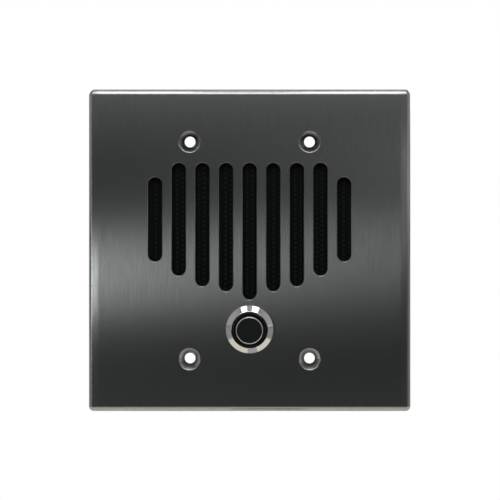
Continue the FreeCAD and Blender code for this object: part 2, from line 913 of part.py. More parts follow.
def speaker_lugs():
    """Two tinned lugs with their eyelets through the strip."""
    body = speaker_body("speaker_lugs")
    back = tag_strip_front() + s.tag_strip_thick
    eyes = sketch(body, "eyelets", depth=tag_strip_front())
    tabs = sketch(body, "tabs", depth=back)
    half = s.lug_width / 2
    for side in (-1, 1):
        z = side * s.lug_spacing / 2
        circle(eyes, -lug_eyelet(), z, s.eyelet_dia - 2 * s.glue_line)
        rectangle(tabs, -s.lug_reach, -lug_eyelet() + half, z - half, z + half)
    pad(body, "tab_sheet", tabs, s.lug_thick)
    pad(body, "eyelet_barrels", eyes, s.tag_strip_thick)


def speaker_clamp():
    """Plated ring behind the flange, with an arm to each stud."""
    body = new_body("speaker_clamp", depth=clamp_face)
    ring = sketch(body, "ring")
    circle(ring, 0, speaker_height, s.speaker_dia + 2 * s.clamp_overhang)
    pad(body, "ring_sheet", ring, s.clamp_thick)
    arms = sketch(body, "arms")
    half = s.clamp_arm_width / 2
    for x, z in stud_places:
        rise = z - speaker_height
        length = root(x * x + rise * rise)
        along_x, along_z = x / length, rise / length
        begin = clamp_bore / 2
        outline(arms, [
            (begin * along_x + half * along_z, speaker_height + begin * along_z - half * along_x),
            (x + half * along_z, z - half * along_x),
            (x - half * along_z, z + half * along_x),
            (begin * along_x - half * along_z, speaker_height + begin * along_z + half * along_x),
        ])
    pad(body, "arm_sheet", arms, s.clamp_thick)
    eyes = sketch(body, "eyes")
    for x, z in stud_places:
        circle(eyes, x, z, s.clamp_eye_dia)
    pad(body, "eye_sheet", eyes, s.clamp_thick)
    holes = sketch(body, "holes")
    circle(holes, 0, speaker_height, clamp_bore)
    for x, z in stud_places:
        circle(holes, x, z, stud_hole)
    cut(body, "holes_cut", holes)


def standoffs():
    """Tapped hex spacers: a stud comes in at the front and a board screw at the back."""
    body = new_body("standoffs", depth=clamp_back)
    shape = sketch(body, "hexagons")
    for x, z in stud_places:
        hexagon(shape, x, z, s.standoff_flats)
        circle(shape, x, z, s.stud_dia + 2 * s.thread_gap)
    pad(body, "spacers", shape, s.standoff_length)


def circuit_board():
    body = new_body("circuit_board", depth=board_face)
    shape = sketch(body, "board_shape")
    rounded_rectangle(shape, -board_side, board_side, board_low, s.board_height, s.board_round)
    circle(shape, 0, speaker_height, s.magnet_dia + 2 * s.board_cutout_gap)
    for x, z in stud_places:
        circle(shape, x, z, stud_hole)
    for pole in range(TERMINAL_POLES):
        circle(shape, bar_pin_x(), pole_height(pole), s.pin_side * math.sqrt(2) + 2 * s.solder_gap)
    for side in (-1, 1):
        circle(shape, -end_slot_x + side * s.microphone_pin_spacing / 2, microphone_z,
               s.microphone_pin_dia + 2 * s.solder_gap)
    pad(body, "laminate", shape, s.board_thick)


def lock_washers():
    body = new_body("lock_washers", depth=board_back)
    shape = sketch(body, "rings")
    for x, z in stud_places:
        circle(shape, x, z, s.washer_dia)
        circle(shape, x, z, stud_hole)
    pad(body, "washers", shape, s.washer_thick)


def board_screws():
    """Pan-head screws with a cross recess, from behind into the spacers."""
    body = new_body("board_screws", depth=board_back + s.washer_thick)
    length = s.washer_thick + s.board_thick + s.board_screw_entry
    shanks = sketch(body, "shanks", depth=-length)
    heads = sketch(body, "heads")
    recesses = sketch(body, "recesses", depth=s.board_screw_head - s.recess_depth)
    arm, half = s.recess_length / 2, s.recess_width / 2
    for x, z in stud_places:
        circle(shanks, x, z, s.stud_dia)
        circle(heads, x, z, s.board_screw_head_dia)
        outline(recesses, [
            (x - arm, z - half), (x - half, z - half), (x - half, z - arm), (x + half, z - arm),
            (x + half, z - half), (x + arm, z - half), (x + arm, z + half), (x + half, z + half),
            (x + half, z + arm), (x - half, z + arm), (x - half, z + half), (x - arm, z + half),
        ])
    pad(body, "head_blanks", heads, s.board_screw_head)
    threads = pad(body, "threads", shanks, length)
    dress(
        body, "Chamfer", "domes", threads, lambda edge: lies_at(edge, s.board_screw_head),
        s.board_screw_dome,
    )
    cut(body, "cross_recesses", recesses, s.recess_depth)


def pole_height(pole):
    """Height of one pole of the terminal block, which is level with the speaker."""
    return speaker_height + (pole - (TERMINAL_POLES - 1) / 2) * s.block_pitch


def cage_x():
    """Middle of the cages, between the chamber's front and back."""
    return block_right - block_depth / 2


def bar_pin_x():
    """The solder pin goes down at the back of the block, clear of the chamber."""
    return block_right - block_depth + s.pin_side


def bar_top():
    """The bar is just under the roof of the open cage."""
    return cage_low + s.cage_tall - s.cage_roof - s.bar_gap


def terminal_block():
    """Housing: a chamber for each cage, a mouth for the wire and a well for the screwdriver."""
    body = board_body("terminal_block", cage_x(), pole_height(0))
    right = block_depth / 2
    left = -right
    half = s.block_pitch / 2 + s.block_end_wall
    block = sketch(body, "block_shape")
    rectangle(block, left, right, -half, (TERMINAL_POLES - 1) * s.block_pitch + half)
    housing = pad(body, "housing", block, block_tall)
    dress(body, "Chamfer", "back_edges", housing, lambda edge: lies_at(edge, block_tall), s.block_round)

    room = sketch(body, "chamber_shape", depth=s.chamber_floor)
    length, width = s.chamber_length / 2, s.chamber_width / 2
    rectangle(room, -length, length, -width, width)
    chamber = cut(body, "chamber", room, chamber_top - s.chamber_floor)
    well_shape = sketch(body, "well_shape", depth=chamber_top)
    circle(well_shape, 0, 0, s.clamp_screw_head_dia + 2 * s.clamp_screw_well_gap)
    well = cut(body, "well", well_shape)
    mouth_shape = side_sketch(body, "mouth_shape", right)
    mouth = s.mouth_width / 2
    low = cage_low + s.cage_side
    rectangle(mouth_shape, low, low + s.mouth_tall, -mouth, mouth)
    entry = cut(body, "mouth", mouth_shape, right - length)
    groove_shape = sketch(body, "bar_way", depth=bar_top() - s.bar_thick)
    bar = s.bar_width / 2 + s.glue_line
    rectangle(groove_shape, left, 0, -bar, bar)
    groove = cut(body, "bar_groove", groove_shape, s.bar_thick + s.glue_line)
    back_shape = sketch(body, "pin_way")
    rectangle(back_shape, left, bar_pin_x() - cage_x() + s.pin_side / 2 + s.glue_line, -bar, bar)
    back = cut(body, "pin_channel", back_shape, bar_top())
    in_line(body, "poles", [chamber, well, entry, groove, back], "Z_Axis", s.block_pitch, TERMINAL_POLES)


def terminal_bars():
    """Tinned bars through the cages, each with a pin down through the board."""
    body = board_body("terminal_bars", cage_x(), pole_height(0))
    half, pin = s.bar_width / 2, s.pin_side / 2
    left = bar_pin_x() - cage_x() - pin
    bar_shape = sketch(body, "bar_shape", depth=bar_top() - s.bar_thick)
    rectangle(bar_shape, left, s.chamber_length / 2 - s.cage_gap, -half, half)
    bar = pad(body, "bar", bar_shape, s.bar_thick)
    pin_shape = sketch(body, "pin_shape", depth=-s.pin_reach)
    rectangle(pin_shape, left, left + s.pin_side, -pin, pin)
    leg = pad(body, "pin", pin_shape, s.pin_reach + bar_top() - s.bar_thick)
    in_line(body, "bars", [bar, leg], "Z_Axis", s.block_pitch, TERMINAL_POLES)


def clamp_cage(pole):
    """Rising cage: the wire goes in under the bar, and the floor of the cage lifts it to the bar."""
    body = board_body("clamp_cage_%d" % (pole + 1), cage_x(), pole_height(pole))
    low = cage_low
    length, width = s.chamber_length / 2 - s.cage_end_play, s.chamber_width / 2 - s.cage_play
    shape = sketch(body, "cage_shape", depth=low)
    rectangle(shape, -length, length, -width, width)
    pad(body, "cage", shape, s.cage_tall)
    window = side_sketch(body, "window_shape", length)
    inner = width - s.cage_side
    rectangle(window, low + s.cage_side, low + s.cage_tall - s.cage_roof, -inner, inner)
    cut(body, "window", window)
    thread = sketch(body, "thread_place", depth=low + s.cage_tall)
    circle(thread, 0, 0, s.clamp_screw_dia + 2 * s.thread_gap)
    cut(body, "thread", thread, s.cage_roof, forwards=True)


def clamp_screw(pole):
    """Slotted screw. Its tip bears on the bar and its head stays under the rim of the well."""
    body = board_body("clamp_screw_%d" % (pole + 1), cage_x(), pole_height(pole))
    tip = bar_top() + s.bar_gap / 2
    top = block_tall - s.clamp_screw_sink
    shoulder = top - s.clamp_screw_head
    turn(body, "blank", [
        (0, tip), (s.clamp_screw_dia / 2, tip), (s.clamp_screw_dia / 2, shoulder),
        (s.clamp_screw_head_dia / 2, shoulder), (s.clamp_screw_head_dia / 2, top), (0, top),
    ])
    slot_shape = sketch(body, "slot_shape", depth=top)
    reach, half = s.clamp_screw_head_dia, s.clamp_screw_slot / 2
    rectangle(slot_shape, -reach, reach, -half, half)
    cut(body, "driver_slot", slot_shape, s.clamp_screw_slot_deep, forwards=True)


def trimmer_place():
    return s.trimmer_edge_gap - board_side, board_low + s.trimmer_rise


def trimmer_body():
    body = board_body("trimmer_body", *trimmer_place())
    half = s.trimmer_side / 2
    shape = sketch(body, "case_shape")
    rectangle(shape, -half, half, -half, half)
    case = pad(body, "case", shape, s.trimmer_tall)
    dress(body, "Chamfer", "case_edges", case, lambda edge: lies_at(edge, s.trimmer_tall), s.trimmer_round)
    recess = sketch(body, "recess_shape", depth=s.trimmer_tall)
    circle(recess, 0, 0, s.rotor_dia + 2 * s.rotor_gap)
    cut(body, "recess", recess, s.rotor_thick + s.rotor_sink + s.glue_line, forwards=True)


def trimmer_rotor():
    body = board_body("trimmer_rotor", *trimmer_place())
    top = s.trimmer_tall - s.rotor_sink
    shape = sketch(body, "disc_shape", depth=top - s.rotor_thick)
    circle(shape, 0, 0, s.rotor_dia)
    pad(body, "disc", shape, s.rotor_thick)
    slots = sketch(body, "cross_shape", depth=top)
    reach, half = s.rotor_slot_length / 2, s.rotor_slot / 2
    outline(slots, [
        (-reach, -half), (-half, -half), (-half, -reach), (half, -reach),
        (half, -half), (reach, -half), (reach, half), (half, half),
        (half, reach), (-half, reach), (-half, half), (-reach, half),
    ])
    cut(body, "cross", slots, s.rotor_slot_deep, forwards=True)


def capacitors():
    """Electrolytic capacitors, each a sleeved can with a crimped bead near the board."""
    body = board_body(
        "capacitors", s.capacitor_inset - board_side, s.board_height - s.capacitor_from_top
    )
    radius, groove = s.capacitor_dia / 2, s.capacitor_groove
    bead = s.capacitor_bead
    can = turn(body, "can", [
        (0, 0), (radius - groove, 0), (radius, groove), (radius, bead - groove),
        (radius - groove, bead), (radius, bead + groove), (radius, s.capacitor_tall - groove),
        (radius - groove, s.capacitor_tall), (radius - 2 * groove, s.capacitor_tall - groove / 2),
        (0, s.capacitor_tall - groove / 2),
    ])
    in_line(body, "cans", [can], "X_Axis", s.capacitor_pitch, CAPACITORS)


def transformer_place():
    return board_side - s.transformer_inset, s.board_height - s.transformer_from_top


def transformer_core():
    """Stack of E and I laminations round the bobbin, with two windows for the winding."""
    body = board_body("transformer_core", *transformer_place())
    wide, tall, limb = s.core_width / 2, s.core_tall, s.core_limb
    stack = s.core_stack / 2
    shape = sketch(body, "lamination", "XY_Plane", stack)
    rectangle(shape, -wide, wide, 0, tall)
    for side in (-1, 1):
        near, far = side * s.core_centre_limb / 2, side * (wide - limb)
        left, right = (near, far) if side > 0 else (far, near)
        rectangle(shape, left, right, limb, tall - limb)
    side_pad(body, "stack", shape, s.core_stack)


def transformer_coil():
    """Winding on its bobbin, round the centre limb of the core."""
    body = board_body("transformer_coil", *transformer_place())
    margin = s.coil_margin
    reach_x = s.core_width / 2 - s.core_limb - margin
    reach_z = s.core_stack / 2 + s.coil_bulge
    low = s.core_limb
    high = s.core_tall - s.core_limb - margin
    shape = sketch(body, "winding_shape", depth=low)
    rounded_rectangle(shape, -reach_x, reach_x, -reach_z, reach_z, s.coil_bulge / 2)
    rectangle(
        shape, -s.core_centre_limb / 2 - margin, s.core_centre_limb / 2 + margin,
        -s.core_stack / 2 - margin, s.core_stack / 2 + margin,
    )
    pad(body, "winding", shape, high - low)


def chip_place(side):
    """Place of the chip at the right, and of the row of small parts at the left."""
    return side * (board_side - s.chip_inset), board_low + s.chip_rise


def amplifier_chip():
    body = board_body("amplifier_chip", *chip_place(1))
    long, wide = s.chip_length / 2, s.chip_width / 2
    shape = sketch(body, "package_shape", depth=s.leg_thick)
    rectangle(shape, -long, long, -wide, wide)
    package = pad(body, "package", shape, s.chip_thick)
    dress(
        body, "Chamfer", "package_edges", package, lambda edge: lies_at(edge, s.leg_thick + s.chip_thick),
        s.leg_thick,
    )


def chip_legs():
    """Gull-wing legs along both sides of the chip."""
    body = board_body("chip_legs", *chip_place(1))
    wide, reach, sheet = s.chip_width / 2, s.leg_reach, s.leg_thick
    rise = s.chip_thick / 2
    row = (CHIP_LEGS_PER_SIDE - 1) * s.leg_pitch
    shape = side_sketch(body, "leg_shape", -row / 2 - s.leg_width / 2)
    for side in (-1, 1):
        near, knee, toe = side * wide, side * (wide + reach / 2), side * (wide + reach)
        corners = [
            (rise, near), (rise, knee - side * sheet), (0, knee - side * sheet), (0, toe),
            (sheet, toe), (sheet, knee), (rise + sheet, knee), (rise + sheet, near),
        ]
        outline(shape, corners)
    leg = side_pad(body, "leg_pair", shape, s.leg_width)
    in_line(body, "legs", [leg], "X_Axis", s.leg_pitch, CHIP_LEGS_PER_SIDE)


def small_parts():
    """Row of chip resistors and capacitors, level with the amplifier."""
    body = board_body("small_parts", *chip_place(-1))
    half, wide = s.small_part_length / 2, s.small_part_width / 2
    shape = sketch(body, "row_shape")
    for step in range(SMALL_PARTS):
        x = (step - (SMALL_PARTS - 1) / 2) * s.small_part_pitch
        rectangle(shape, x - half, x + half, -wide, wide)
    pad(body, "row", shape, s.small_part_thick)


def microphone_body(label):
    return new_body(label, x=-end_slot_x, z=microphone_z)


def microphone_capsule():
    """Electret capsule with the sound port in front."""
    body = microphone_body("microphone_capsule")
    front = s.screen_thick + s.microphone_set_back
    back = front + s.microphone_long
    radius, bevel = s.microphone_dia / 2, s.capacitor_groove
    turn(body, "can", [
        (0, front + bevel), (s.microphone_port / 2, front + bevel), (s.microphone_port / 2, front),
        (radius - bevel, front), (radius, front + bevel), (radius, back), (0, back),
    ])


def microphone_boot():
    """Rubber tube from the screen to the board, which holds the capsule and keeps sound out."""
    body = microphone_body("microphone_boot")
    front, back = s.screen_thick, board_face
    lip = s.microphone_dia / 2 - s.boot_lip
    seat = front + s.microphone_set_back
    wall = s.microphone_dia / 2 + s.glue_line
    turn(body, "boot", [
        (lip, front), (boot_radius, front), (boot_radius, back), (wall, back), (wall, seat),
        (lip, seat),
    ])


def microphone_pins():
    body = microphone_body("microphone_pins")
    front = s.screen_thick + s.microphone_set_back + s.microphone_long
    shape = sketch(body, "pin_places", depth=front)
    for side in (-1, 1):
        circle(shape, side * s.microphone_pin_spacing / 2, 0, s.microphone_pin_dia)
    pad(body, "pins", shape, board_back + s.microphone_pin_dia - front)


# Depths along the button, from the front face of the plate
bezel_back = -s.button_seal_thick
bezel_front = bezel_back - s.bezel_tall
web_front = bezel_front + s.bezel_bore_depth
web_back = web_front + s.web_thick
collar_front = web_back + s.plunger_rest_gap
collar_back = collar_front + s.plunger_collar
contact_back = s.contact_disc_depth + s.contact_disc_thick
blade_front = contact_back + s.button_travel + s.contact_clear


def button_bezel():
    """Stainless barrel in one piece with its flange: a cone rises from the flange's edge to the bore."""
    body = button_body("button_bezel")
    barrel, inside, bore = s.barrel_dia / 2, barrel_bore / 2, bezel_bore / 2
    outer = barrel + s.bezel_flange
    web = plunger_dia / 2 + s.wiper_gap
    end = s.barrel_length
    turn(body, "barrel", [
        (bore, bezel_front), (bore + s.bezel_rim, bezel_front), (outer, bezel_back - s.bezel_land),
        (outer, bezel_back), (barrel, bezel_back), (barrel, end - s.thread_chamfer),
        (barrel - s.thread_chamfer, end), (inside, end), (inside, web_back), (web, web_back),
        (web, web_front), (bore, web_front),
    ])


def button_seal():
    """Flat seal under the flange of the bezel."""
    body = button_body("button_seal")
    inner = s.barrel_dia + 2 * s.barrel_hole_gap
    tube(body, "seal", inner, inner + 2 * s.button_seal_width, bezel_back, 0)


def button_ring():
    """Black ring pressed into the bezel. Its front is a rounded crest."""
    body = button_body("button_ring")
    inner, outer = ring_bore / 2, bezel_bore / 2 - s.ring_gap
    front = bezel_front + s.ring_set_back
    crest, flat = inner + s.ring_crest_in, s.ring_crest_flat / 2
    turn(body, "ring", [
        (inner, front + s.ring_crest), (crest - flat, front), (crest + flat, front),
        (outer, front + s.ring_crest), (outer, web_front - s.wiper_thick),
        (inner, web_front - s.wiper_thick),
    ])


def plunger_wiper():
    """Rubber wiper between the ring and the web, which keeps water out of the switch."""
    body = button_body("plunger_wiper")
    tube(body, "wiper", plunger_dia + 2 * s.wiper_gap, bezel_bore - 2 * s.ring_gap,
         web_front - s.wiper_thick, web_front)


def button_plunger():
    """Actuator: a head with a bright chamfer, a collar that stops behind the web, and a stem."""
    body = button_body("button_plunger")
    head, collar, stem = plunger_dia / 2, collar_dia / 2, s.plunger_stem_dia / 2
    front = bezel_front - s.plunger_proud
    turn(body, "actuator", [
        (0, front), (head - s.plunger_chamfer, front), (head, front + s.plunger_chamfer),
        (head, collar_front), (collar, collar_front), (collar, collar_back),
        (stem, collar_back), (stem, s.contact_disc_depth), (0, s.contact_disc_depth),
    ])


def moving_contact():
    """Sprung brass disc on the end of the stem, which bridges the two blades."""
    body = button_body("moving_contact")
    shape = sketch(body, "disc_shape", depth=s.contact_disc_depth)
    circle(shape, 0, 0, contact_disc_dia)
    pad(body, "disc", shape, s.contact_disc_thick)


def contact_blades():
    """Two silvered blades: their front ends are the fixed contacts, their back ends the solder pins."""
    body = button_body("contact_blades")
    shape = sketch(body, "blade_shape", depth=blade_front)
    half, thick = s.blade_width / 2, s.blade_thick / 2
    for side in (-1, 1):
        x = side * s.blade_spacing / 2
        rectangle(shape, x - thick, x + thick, -half, half)
    pad(body, "blades", shape, s.base_depth + s.blade_length - blade_front)


def switch_base():
    """Moulded plug in the back of the barrel. It carries the blades and the spring."""
    body = button_body("switch_base")
    inside, flange = barrel_bore / 2 - s.base_gap, s.barrel_dia / 2 - s.base_flange_inset
    back = s.barrel_length + s.base_flange
    turn(body, "plug", [
        (0, s.base_depth), (inside, s.base_depth), (inside, s.barrel_length),
        (flange, s.barrel_length), (flange, back), (0, back),
    ])
    half, thick = s.blade_width / 2 + s.glue_line, s.blade_thick / 2 + s.glue_line
    ways = sketch(body, "blade_ways", depth=s.base_depth)
    for side in (-1, 1):
        x = side * s.blade_spacing / 2
        rectangle(ways, x - thick, x + thick, -half, half)
    cut(body, "ways", ways)


def return_spring():
    """Coil spring between the collar of the plunger and the base."""
    body = button_body("return_spring")
    gap = s.base_depth - collar_back
    wire = s.spring_wire
    section = sketch(body, "wire_section", "XY_Plane")
    middle = contact_disc_dia / 2 + s.spring_contact_gap + wire / 2
    start = collar_back + wire / 2
    reach = wire / 2
    outline(section, [
        (middle + reach, start),
        (middle + reach / 2, start + reach),
        (middle - reach / 2, start + reach),
        (middle - reach, start),
        (middle - reach / 2, start - reach),
        (middle + reach / 2, start - reach),
    ])
    coil = body.newObject("PartDesign::AdditiveHelix", "coil")
    coil.Profile = section
    coil.ReferenceAxis = (section, ["V_Axis"])
    coil.Mode = "height-turns-angle"
    bind(coil, "Height", gap - wire)
    bind(coil, "Turns", s.spring_turns)
    pitch = float(gap - wire) / float(s.spring_turns)
    print("return spring: gap between turns %.2f mm" % (pitch - float(wire)))


def button_nut():
    """Thin hex nut behind the plate, with its corners chamfered."""
    body = new_body("button_nut", depth=s.lock_washer_thick, z=-s.button_drop)
    shape = sketch(body, "hex")
    hexagon(shape, 0, 0, nut_flats)
    circle(shape, 0, 0, s.barrel_dia + 2 * s.thread_gap)
    pad(body, "nut", shape, s.nut_thick)
    flat, tip = nut_flats / 2, nut_flats / math.sqrt(3)
    corner = sketch(body, "corner_profile", "XY_Plane")
    outline(corner, [
        (flat, s.nut_thick),
        (tip + s.nut_chamfer, s.nut_thick),
        (tip + s.nut_chamfer, s.nut_thick - s.nut_chamfer),
        (tip, s.nut_thick - s.nut_chamfer),
    ])
    bevel = body.newObject("PartDesign::Groove", "corner_bevel")
    bevel.Profile = corner
    bevel.ReferenceAxis = (corner, ["V_Axis"])
    bevel.Angle = FULL_TURN


def button_lock_washer():
    """Washer with internal teeth."""
    body = new_body("button_lock_washer", z=-s.button_drop)
    bore = s.barrel_dia / 2 + s.thread_gap
    tube(body, "washer", 2 * bore, 2 * (bore + s.lock_washer_width), 0, s.lock_washer_thick)
    notch_shape = sketch(body, "notch_shape")
    half = s.lock_tooth_width / 2
    rectangle(notch_shape, bore - s.lock_tooth_deep, bore + s.lock_tooth_deep, -half, half)
    notch = cut(body, "notch", notch_shape)
    around(body, "teeth", [notch], LOCK_TEETH)


def bend_radius(before, here, after):
    """Arc at a point of a lead's route: as large as its two runs allow."""
    inward, outward = here - before, after - here
    angle = inward.getAngle(outward)
    return 0.45 * min(inward.Length, outward.Length) / math.tan(angle / 2)


def route_wire(points):
    """Straight runs joined by tangent arcs, and the least radius."""
    edges, start, radii = [], points[0], []
    for before, here, after in zip(points, points[1:], points[2:]):
        radius = bend_radius(before, here, after)
        inward, outward = (here - before).normalize(), (after - here).normalize()
        angle = inward.getAngle(outward)
        trim = radius * math.tan(angle / 2)
        first, last = here - inward * trim, here + outward * trim
        inside = (outward - inward).normalize()
        middle = here + inside * (radius / math.cos(angle / 2) - radius)
        edges.append(Part.LineSegment(start, first).toShape())
        edges.append(Part.Arc(first, middle, last).toShape())
        start = last
        radii.append(radius)
    edges.append(Part.LineSegment(start, points[-1]).toShape())
    return Part.Wire(edges), min(radii)


def lead(label, points):
    """Insulated lead along a route, held at both ends."""
    points = [FreeCAD.Vector(*[float(value) for value in point]) for point in points]
    path, least = route_wire(points)
    ring = Part.Circle(points[0], points[1] - points[0], float(s.lead_dia) / 2)
    solid = path.makePipeShell([Part.Wire([ring.toShape()])], True, False)
    expected = math.pi * float(s.lead_dia) ** 2 / 4 * path.Length
    print("%s: length %.1f mm, least radius %.2f mm, volume %.4f of section times length" % (
        label, path.Length, least, solid.Volume / expected))
    feature = doc.addObject("Part::Feature", label)
    feature.Label = label
    feature.Shape = solid
    feature.Placement = FreeCAD.Placement()
    parts.append(feature)


def speaker_lead(side):
    """Lead from a lug of the speaker, forward past the clamp and back to the front of the board."""
    z = speaker_height + side * s.lug_spacing / 2
    depth = basket_face + tag_strip_front() + s.tag_strip_thick + s.lug_thick / 2
    start = -s.lug_reach
    hole = s.speaker_lead_inset - board_side
    run, sag = hole - start, s.speaker_lead_sag
    lead("speaker_lead_%d" % (1 if side < 0 else 2), [
        (start, depth, z),
        (start + run * 0.31, depth, z),
        (start + run * 0.55, depth - sag * 0.87, z + side * 0.3),
        (start + run * 0.81, depth - sag - side * 0.2, z + side * 0.6),
        (hole, depth - sag / 3, z + side * 0.4),
        (hole, board_face, z + side * 0.4),
    ])


def button_lead(side):
    """Lead from a blade of the switch, round in a loop to the back of the board."""
    x = side * s.blade_spacing / 2
    start = plate_front + s.base_depth + s.blade_length
    z = -s.button_drop
    hole = x + side * s.button_lead_spread, board_low + s.button_lead_rise
    rise, loop = hole[1] - z, s.button_lead_loop
    lead("button_lead_%d" % (1 if side < 0 else 2), [
        (x, start, z),
        (x, start + loop * 0.6, z),
        (x + side * 0.5, start + loop, z + rise * 0.32),
        (x + side * 1.0, start + loop * 0.79 - side * 0.4, z + rise * 0.73),
        (hole[0], start + loop * 0.07, hole[1]),
        (hole[0], board_back, hole[1]),
    ])


for build in (
    faceplate, wall_gasket, weld_studs, grille_screen, speaker_gasket, speaker_basket, speaker_cone,
    speaker_surround, dust_cap, voice_coil_former, voice_coil, speaker_spider, speaker_top_plate,
    speaker_magnet, speaker_yoke, speaker_tag_strip, speaker_lugs, speaker_clamp, standoffs,
    circuit_board, lock_washers, board_screws, terminal_block, terminal_bars, trimmer_body,
    trimmer_rotor, capacitors, transformer_core, transformer_coil, amplifier_chip, chip_legs,
    small_parts, microphone_capsule, microphone_boot, microphone_pins, button_bezel, button_seal,
    button_ring, plunger_wiper, button_plunger, moving_contact, contact_blades, switch_base,
    return_spring, button_nut, button_lock_washer,
):
    build()
for pole in range(TERMINAL_POLES):
    clamp_cage(pole)
    clamp_screw(pole)
for side in (-1, 1):
    speaker_lead(side)
    button_lead(side)
doc.recompute()

for item in doc.Objects:
    if "Invalid" in item.State or "Error" in item.State:
        raise RuntimeError("%s failed: %s" % (item.Label, item.State))
    if item.TypeId in ("PartDesign::Pocket", "PartDesign::Groove", "PartDesign::Hole"):
        before = item.BaseFeature.Shape.Volume
        if item.Shape.Volume > before - 1e-6:
            owner = item.getParentGeoFeatureGroup().Label
            raise RuntimeError("%s of %s cuts nothing" % (item.Label, owner))
for item in parts:
    if item.Shape.isNull() or not item.Shape.isValid():
        raise RuntimeError("%s has no valid shape" % item.Label)

os.makedirs("parts", exist_ok=True)
for item in parts:
    item.Shape.exportStep("parts/%s.step" % item.Label)
print("%d sub-parts" % len(parts))
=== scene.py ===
# %% [markdown]
# # A flush door station, dressed over its frame
# The station is a square stainless plate for a wall box. Speech slots and a round push button are in
# the plate, and a loudspeaker, a microphone and a small circuit board hang behind it.
# The frame already has every rigid solid in its right place. This lesson gives each solid a finish,
# and makes the pieces that need more shape than a plain solid has: the perforated screen, the foam,
# the springy parts of the loudspeaker, the threads and the wires. Lengths are written in
# millimetres, because the parts are made in them, and turned into Blender's metres at the end.

import json
import math

import bmesh
import bpy
from mathutils import Matrix, Vector
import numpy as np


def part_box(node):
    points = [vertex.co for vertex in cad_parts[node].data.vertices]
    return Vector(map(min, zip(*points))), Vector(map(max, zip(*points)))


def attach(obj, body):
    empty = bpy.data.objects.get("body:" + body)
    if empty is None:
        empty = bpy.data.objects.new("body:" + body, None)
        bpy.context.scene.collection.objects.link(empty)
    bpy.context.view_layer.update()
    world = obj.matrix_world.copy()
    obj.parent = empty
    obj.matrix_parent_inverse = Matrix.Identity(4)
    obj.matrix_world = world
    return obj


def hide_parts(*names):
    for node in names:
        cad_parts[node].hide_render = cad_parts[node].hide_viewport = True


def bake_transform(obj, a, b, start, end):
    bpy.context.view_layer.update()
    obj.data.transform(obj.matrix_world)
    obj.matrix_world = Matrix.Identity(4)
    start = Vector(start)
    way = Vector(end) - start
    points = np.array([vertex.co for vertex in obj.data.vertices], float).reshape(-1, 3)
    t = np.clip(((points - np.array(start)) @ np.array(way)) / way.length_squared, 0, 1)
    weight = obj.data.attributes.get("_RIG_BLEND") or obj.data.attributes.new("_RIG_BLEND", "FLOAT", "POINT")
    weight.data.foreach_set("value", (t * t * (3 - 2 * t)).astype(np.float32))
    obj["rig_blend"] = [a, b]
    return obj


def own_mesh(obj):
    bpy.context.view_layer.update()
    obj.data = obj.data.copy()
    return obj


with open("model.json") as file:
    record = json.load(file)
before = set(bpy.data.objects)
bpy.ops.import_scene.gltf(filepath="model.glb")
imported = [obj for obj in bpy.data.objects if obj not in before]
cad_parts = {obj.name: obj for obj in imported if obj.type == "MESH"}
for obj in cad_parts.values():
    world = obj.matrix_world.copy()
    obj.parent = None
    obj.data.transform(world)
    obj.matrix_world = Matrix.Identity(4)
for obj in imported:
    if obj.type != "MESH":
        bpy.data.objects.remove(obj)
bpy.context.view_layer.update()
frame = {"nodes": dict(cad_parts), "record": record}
nodes = frame["nodes"]
print("nodes in the frame:", len(nodes))

# %% [markdown]
# ## The camera
# The photograph was taken square on to the plate, from a little above its middle and to its right.
# The plate shows no perspective, but the insides of its holes do. Aiming the camera at the middle
# would make the plate lean, so the camera looks straight along +Y, and a shifted lens brings the
# plate back to the middle of the picture. Its focal length follows from the width of the picture.

# %% The camera
MM = 0.001
CAMERA_PLACE = (7.8 * MM, -363 * MM, 19.3 * MM)
PLATE_FRONT = -3 * MM
PICTURE_WIDTH = 191.6 * MM
PICTURE_OFFSET = (0.15 * MM, 0.15 * MM)
SENSOR_WIDTH = 36

lens = bpy.data.cameras.new("lens")
lens.sensor_width = SENSOR_WIDTH
lens.lens = SENSOR_WIDTH * (PLATE_FRONT - CAMERA_PLACE[1]) / PICTURE_WIDTH
lens.shift_x = (PICTURE_OFFSET[0] - CAMERA_PLACE[0]) / PICTURE_WIDTH
lens.shift_y = (PICTURE_OFFSET[1] - CAMERA_PLACE[2]) / PICTURE_WIDTH
lens.clip_start = 0.01
camera = bpy.data.objects.new("camera", lens)
camera.location = CAMERA_PLACE
camera.rotation_euler = (math.radians(90), 0, 0)
bpy.context.scene.collection.objects.link(camera)
bpy.context.scene.camera = camera
bpy.context.scene.view_settings.view_transform = "Standard"
print("lens %.1f mm, shift %.3f %.3f" % (lens.lens, lens.shift_x, lens.shift_y))

# %% [markdown]
# ## Wires
# Every finish below is a sheet of nodes, and so is every rule that repeats a shape. Wiring nodes by
# hand takes many lines. A `Wire` stands for a value on its way through a sheet instead: adding,
# multiplying or comparing wires places the Math nodes, also with a plain number on either side.

# %% Wires
def find_socket(sockets, key):
    """The socket with that number, identifier or name."""
    if isinstance(key, int):
        return sockets[key]
    for socket in sockets:
        if socket.identifier == key:
            return socket
    return sockets[key]


